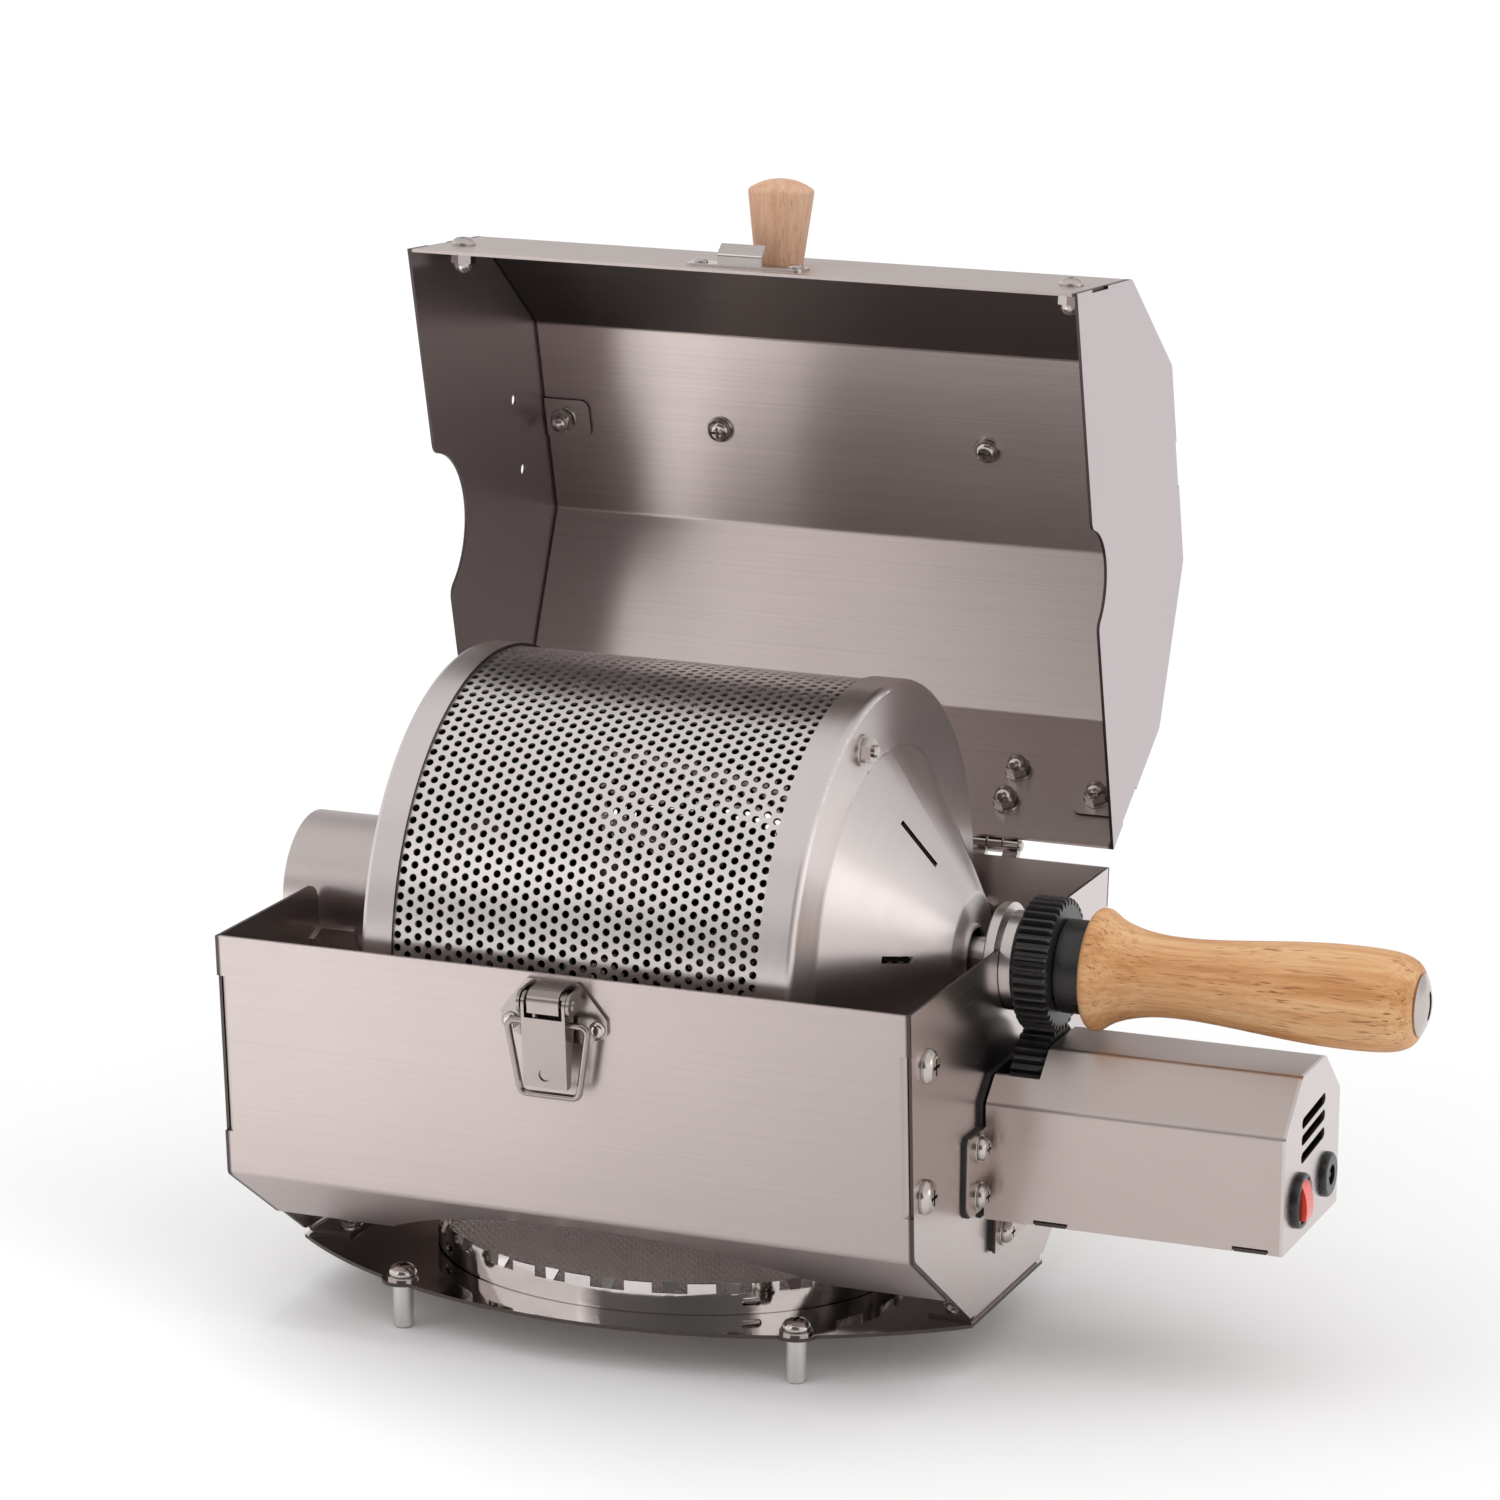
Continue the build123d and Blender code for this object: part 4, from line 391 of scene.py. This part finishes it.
def face_of(o, p):
    return (o.matrix_world.to_3x3() @ p.normal).normalized(), o.matrix_world @ p.center


def trim(name, mat, test):
    o = nodes[name]
    o.data.materials.append(mat)
    last = len(o.data.materials) - 1
    for p in o.data.polygons:
        if test(*face_of(o, p)):
            p.material_index = last


for n in "left_end_panel right_end_panel lid_left_end lid_right_end".split():
    trim(n, cut_edge_and_gap_shade, lambda v, c: abs(v.x) < 0.3 and abs(c.x) > 0.1112)
for n in "left_end_panel right_end_panel".split():
    trim(n, mirror, lambda v, c: v.z > 0.9 and abs(c.x) <= 0.1112 and c.z < 0.0195)
    trim(n, cut_edge_and_gap_shade, lambda v, c: abs(v.z) < 0.5 and abs(c.x) <= 0.1112 and c.z < 0.0195)
for n in "front_panel rear_panel lid_shell".split():
    trim(n, cut_edge_and_gap_shade, lambda v, c: abs(v.x) > 0.9)
# painted shade: the left band's inner edge is darkened to draw the shadow line along the perforated sheet
trim("drum_left_cap", cut_edge_and_gap_shade, lambda v, c: v.x > 0.9 and math.hypot(c.y, c.z - AXIS_Z) > 0.0823)
trim("motor_bottom_plate", cut_edge_and_gap_shade, lambda v, c: abs(v.y) > 0.9)
# the inside of the drum is browned by use, and painted near black as shade so the holes, slots and neck bore read
# dark
trim("drum_left_cap", seasoned_and_shade, lambda v, c: v.x > 0.5 and math.hypot(c.y, c.z - AXIS_Z) < 0.0819)
trim("drum_cone", seasoned_and_shade, lambda v, c: v.x < -0.3 and math.hypot(c.y, c.z - AXIS_Z) < 0.0815)
trim("drum_cone", seasoned_and_shade, lambda v, c: abs(v.x) < 0.3 and math.hypot(c.y, c.z - AXIS_Z) < 0.05 and abs(v.y * c.y + v.z * (c.z - AXIS_Z)) < 0.3 * math.hypot(c.y, c.z - AXIS_Z))
trim("drum_tube", seasoned_and_shade, lambda v, c: v.y * c.y + v.z * (c.z - AXIS_Z) < -0.5 * math.hypot(c.y, c.z - AXIS_Z))
# the fixing tabs inside the lid match its shell, with dark edges
lid_faces = [Vector(lid_dir(0, 1)), Vector(knob_axis), Vector(lid_dir(math.cos(math.atan2(17.5, 53.1)), math.sin(math.atan2(17.5, 53.1))))]
for n in "lid_left_end lid_right_end".split():
    trim(n, sheet_lid, lambda v, c: abs(c.x) < 0.1112)
    trim(n, cut_edge_and_gap_shade, lambda v, c: abs(c.x) < 0.1112 and max(abs(v.dot(f)) for f in lid_faces) < 0.97)
# painted shade: the inside of the lid's front slope is darkened to stand for the shadow cast by the lid's front strip
trim("lid_shell", lid_sheet_painted_shade, lambda v, c: v.dot(Vector((0.0, -0.608, -0.794))) > 0.985)
trim("base_plate", cut_edge_and_gap_shade, lambda v, c: abs(v.z) < 0.5)

# -------------------------------------------------------------------- pieces


def piece(name, verts, faces, mats, body, replaced, face_mats=None, smooth=False):
    mesh = bpy.data.meshes.new(name)
    mesh.from_pydata(verts, [], faces)
    for m in mats:
        mesh.materials.append(m)
    if face_mats is not None:
        mesh.polygons.foreach_set("material_index", face_mats)
    mesh.polygons.foreach_set("use_smooth", [smooth] * len(mesh.polygons))
    mesh.update()
    o = bpy.data.objects.new(name, mesh)
    scene.collection.objects.link(o)
    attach(o, body)
    if replaced:
        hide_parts(*replaced)
    return o


def perforated_drum():
    """Rolled sheet with staggered round holes, six neighbours around each."""
    r_out, r_in = 0.08235, 0.08155
    around = 130
    pitch = 2 * math.pi * r_out / around
    a, b = pitch / 2, pitch / (2 * math.sqrt(3))
    rows = 37
    hole = 0.00124
    x_mid = 0.0006
    x_first = x_mid - 3 * b * (rows - 1) / 2
    x_lo, x_hi = -0.066, 0.067
    verts, faces, which = [], [], []
    shared = {}

    def put(c, x, r):
        t = c / r_out
        verts.append((x, r * math.cos(t), AXIS_Z + r * math.sin(t)))
        return len(verts) - 1

    def edge(kc, kx):
        """Corner or middle of a cell edge, on the outer and the inner face."""
        key = (kc % (4 * around), kx)
        if key not in shared:
            c, x = key[0] * a / 2, x_first + kx * b / 2
            shared[key] = (put(c, x, r_out), put(c, x, r_in))
        return shared[key]

    ring = [(0, 4), (1, 3), (2, 2), (2, 0), (2, -2), (1, -3), (0, -4), (-1, -3), (-2, -2), (-2, 0), (-2, 2), (-1, 3)]
    for i in range(rows):
        for j in range(around):
            kc, kx = 4 * j + 2 * (i % 2), 6 * i
            c0, x0 = kc * a / 2, x_first + kx * b / 2
            outer, inner = [], []
            for dc, dx in ring:
                m = math.hypot(dc * a / 2, dx * b / 2)
                cc, xx = c0 + dc * a / 2 / m * hole, x0 + dx * b / 2 / m * hole
                outer.append(put(cc, xx, r_out))
                inner.append(put(cc, xx, r_in))
            rim = [edge(kc + dc, kx + dx) for dc, dx in ring]
            for k in range(12):
                n = (k + 1) % 12
                faces.append((rim[k][0], rim[n][0], outer[n], outer[k]))
                faces.append((rim[n][1], rim[k][1], inner[k], inner[n]))
                faces.append((outer[k], outer[n], inner[n], inner[k]))
                which += [0, 1, 0]
    for i, sign, x_end in ((0, -1, x_lo), (rows - 1, 1, x_hi)):
        line = []
        for j in range(around):
            kc, kx = 4 * j + 2 * (i % 2), 6 * i
            for dc, dx in ((-2, 2), (-1, 3), (0, 4), (1, 3)):
                line.append((kc + dc, kx + sign * dx))
        ends = []
        for kc, kx in line:
            c = (kc % (4 * around)) * a / 2
            ends.append((put(c, x_end, r_out), put(c, x_end, r_in)))
        count = len(line)
        for k in range(count):
            n = (k + 1) % count
            p, q = edge(*line[k]), edge(*line[n])
            e, f = ends[k], ends[n]
            quads = [(p[0], q[0], f[0], e[0]), (q[1], p[1], e[1], f[1]), (e[0], f[0], f[1], e[1])]
            if sign < 0:
                quads = [tuple(reversed(s)) for s in quads]
            faces += quads
            which += [0, 1, 0]
    o = piece("perforated_drum_sheet", verts, faces, [perf, seasoned_and_shade], "drum", ["drum_sheet"], which)
    return o


def tube(verts, faces, path, radius, sides, closed=False):
    """Round wire along points, its section kept upright."""
    count = len(path)
    first = len(verts)
    for i, p in enumerate(path):
        if closed:
            d = Vector(path[(i + 1) % count]) - Vector(path[i - 1])
        else:
            d = Vector(path[min(i + 1, count - 1)]) - Vector(path[max(i - 1, 0)])
        d.normalize()
        s = d.cross(Vector((0, 0, 1))).normalized()
        t = s.cross(d).normalized()
        for k in range(sides):
            w = 2 * math.pi * (k + 0.5) / sides
            verts.append(tuple(Vector(p) + s * (radius * math.cos(w)) + t * (radius * math.sin(w))))
    spans = count if closed else count - 1
    for i in range(spans):
        for k in range(sides):
            n = (k + 1) % sides
            i0, i1 = first + i * sides, first + ((i + 1) % count) * sides
            faces.append((i0 + k, i0 + n, i1 + n, i1 + k))
    if not closed:
        faces.append(tuple(first + k for k in reversed(range(sides))))
        faces.append(tuple(first + (count - 1) * sides + k for k in range(sides)))


def woven_inlet():
    """Oval pan of plain-woven wire, its edge bound by a bent strip."""
    ax, ay = 0.0757, 0.0620
    z_mid, lift, wire = 0.0209, 0.00024, 0.00029
    pitch = 0.0021
    lean = math.radians(41.0)
    verts, faces = [], []
    for family in range(2):
        ang = lean + family * math.pi / 2
        d = (math.cos(ang), math.sin(ang))
        n = (-d[1], d[0])
        reach = int(0.08 / pitch)
        for i in range(-reach, reach + 1):
            o = (n[0] * i * pitch, n[1] * i * pitch)
            # where the line meets the oval, kept just inside its rim
            ex, ey = ax - 0.0009, ay - 0.0009
            qa = (d[0] / ex) ** 2 + (d[1] / ey) ** 2
            qb = 2 * (o[0] * d[0] / ex ** 2 + o[1] * d[1] / ey ** 2)
            qc = (o[0] / ex) ** 2 + (o[1] / ey) ** 2 - 1
            disc = qb * qb - 4 * qa * qc
            if disc <= 0:
                continue
            t0, t1 = (-qb - math.sqrt(disc)) / (2 * qa), (-qb + math.sqrt(disc)) / (2 * qa)
            if t1 - t0 < 0.004:
                continue
            marks = [t0]
            k = math.ceil(t0 / (pitch / 2))
            while k * pitch / 2 < t1:
                if k * pitch / 2 - t0 > 0.0002 and t1 - k * pitch / 2 > 0.0002:
                    marks.append(k * pitch / 2)
                k += 1
            marks.append(t1)
            path = []
            for t in marks:
                s = math.cos(math.pi * t / pitch) * (1 if i % 2 == 0 else -1) * (1 if family == 0 else -1)
                wob = 0.00016 * math.sin(310 * t + i * 1.7 + family)
                path.append((o[0] + d[0] * t + n[0] * wob, o[1] + d[1] * t + n[1] * wob, z_mid + lift * s))
            tube(verts, faces, path, wire, 5)
    wires = len(faces)
    # binding strip: a rounded channel down the skirt of the pan
    section = [(0.0, 0.0170), (0.0, 0.0208), (-0.0003, 0.0213), (-0.0012, 0.0214), (-0.0026, 0.02135), (-0.0026, 0.0211), (-0.0012, 0.0211), (-0.0008, 0.0206), (-0.0008, 0.0170)]
    steps = 160
    first = len(verts)
    for i in range(steps):
        t = 2 * math.pi * i / steps
        nx, ny = ay * math.cos(t), ax * math.sin(t)
        m = math.hypot(nx, ny)
        for off, z in section:
            verts.append((ax * math.cos(t) + nx / m * off, ay * math.sin(t) + ny / m * off, z))
    c = len(section)
    for i in range(steps):
        for k in range(c):
            n = (k + 1) % c
            i0, i1 = first + i * c, first + ((i + 1) % steps) * c
            faces.append((i0 + k, i1 + k, i1 + n, i0 + n))
    which = [0] * wires + [1] * (len(faces) - wires)
    return piece("woven_heat_inlet", verts, faces, [wire_mat, plated], "housing", ["burner_mesh"], which, smooth=True)


perforated_drum()
woven_inlet()

# --------------------------------------------------------------------- stage
floor_net = Net("pale_floor")
grain = floor_net.noise(floor_net.place(), 30.0, 3.0, 0.5)
floor_net.set(color=floor_net.ramp(grain, [(0.3, (0.900, 0.900, 0.900)), (0.7, (0.906, 0.906, 0.906))]), rough=0.8, spec=0.1)
mesh = bpy.data.meshes.new("floor")
R = 14.0
mesh.from_pydata([(-R, -R, -0.0002), (R, -R, -0.0002), (R, R, -0.0002), (-R, R, -0.0002)], [], [(0, 1, 2, 3)])
mesh.materials.append(floor_net.mat)
floor = bpy.data.objects.new("floor", mesh)
scene.collection.objects.link(floor)

# A white tent all round, with a dim gap in front.
world = bpy.data.worlds.new("studio")
scene.world = world
world.use_nodes = True
wt = world.node_tree
wt.nodes.clear()
w_out = wt.nodes.new("ShaderNodeOutputWorld")
w_bg = wt.nodes.new("ShaderNodeBackground")
w_co = wt.nodes.new("ShaderNodeTexCoord")
w_sep = wt.nodes.new("ShaderNodeSeparateXYZ")
wt.links.new(w_co.outputs["Generated"], w_sep.inputs[0])


def sky_ramp(source, stops):
    n = wt.nodes.new("ShaderNodeValToRGB")
    wt.links.new(source, n.inputs[0])
    e = n.color_ramp.elements
    e[0].position, e[0].color = stops[0][0], (stops[0][1],) * 3 + (1,)
    e[1].position, e[1].color = stops[-1][0], (stops[-1][1],) * 3 + (1,)
    for pos, val in stops[1:-1]:
        k = e.new(pos)
        k.color = (val, val, val, 1)
    return n.outputs[0]


GAP_AZ, GAP_EL = math.radians(10.0), math.radians(10.0)
w_gap = wt.nodes.new("ShaderNodeVectorMath")
w_gap.operation = "DOT_PRODUCT"
w_gap.inputs[1].default_value = (math.sin(GAP_AZ) * math.cos(GAP_EL), -math.cos(GAP_AZ) * math.cos(GAP_EL), math.sin(GAP_EL))
wt.links.new(w_co.outputs["Generated"], w_gap.inputs[0])
w_mul = wt.nodes.new("ShaderNodeMix")
w_mul.data_type, w_mul.blend_type = "RGBA", "MULTIPLY"
w_mul.inputs[0].default_value = 1.0
wt.links.new(sky_ramp(w_sep.outputs[2], [(0.0, 1.0), (0.30, 1.0), (0.55, 0.74), (1.0, 0.70)]), w_mul.inputs[6])
wt.links.new(sky_ramp(w_gap.outputs["Value"], [(0.0, 1.0), (0.78, 1.0), (0.837, 0.16), (1.0, 0.12)]), w_mul.inputs[7])
w_y = wt.nodes.new("ShaderNodeMath")
w_y.operation = "MULTIPLY_ADD"
w_y.inputs[1].default_value, w_y.inputs[2].default_value = 0.5, 0.5
wt.links.new(w_sep.outputs[1], w_y.inputs[0])
w_back = wt.nodes.new("ShaderNodeMix")
w_back.data_type, w_back.blend_type = "RGBA", "MULTIPLY"
w_back.inputs[0].default_value = 1.0
wt.links.new(w_mul.outputs[2], w_back.inputs[6])
wt.links.new(sky_ramp(w_y.outputs[0], [(0.0, 1.0), (0.62, 1.0), (0.85, 0.68), (1.0, 0.64)]), w_back.inputs[7])
wt.links.new(w_back.outputs[2], w_bg.inputs["Color"])
w_bg.inputs["Strength"].default_value = 1.18
wt.links.new(w_bg.outputs[0], w_out.inputs[0])


def softbox(name, place, aim, size, power, color=(1, 1, 1), glossy=True):
    light = bpy.data.lights.new(name, "AREA")
    light.shape = "RECTANGLE"
    light.size, light.size_y = size
    light.energy = power
    light.color = color
    o = bpy.data.objects.new(name, light)
    scene.collection.objects.link(o)
    o.location = place
    o.rotation_euler = (Vector(aim) - Vector(place)).to_track_quat("-Z", "Y").to_euler()
    o.visible_glossy = glossy
    return o


softbox("key", (-1.05, -2.2, 1.35), (0, 0, 0.15), (0.42, 0.9), 1.5)
softbox("side", (1.7, 0.30, 0.48), (0.1, 0, 0.13), (0.22, 0.5), 0.95)

# a pool of light on the floor in front, to the left
pool = bpy.data.lights.new("pool", "SPOT")
pool.energy = 42.0
pool.spot_size, pool.spot_blend = math.radians(36.0), 1.0
pool.shadow_soft_size = 0.12
pool_at = bpy.data.objects.new("pool", pool)
scene.collection.objects.link(pool_at)
pool_at.location = (-0.26, -0.37, 0.95)
pool_at.visible_glossy = False

# even light from overhead for the floor and the wood
sky = bpy.data.lights.new("overhead", "SUN")
sky.energy = 1.25
sky.angle = math.radians(110.0)
overhead = bpy.data.objects.new("overhead", sky)
scene.collection.objects.link(overhead)
overhead.rotation_euler = (math.radians(12.0), 0.0, 0.0)
overhead.visible_glossy = False
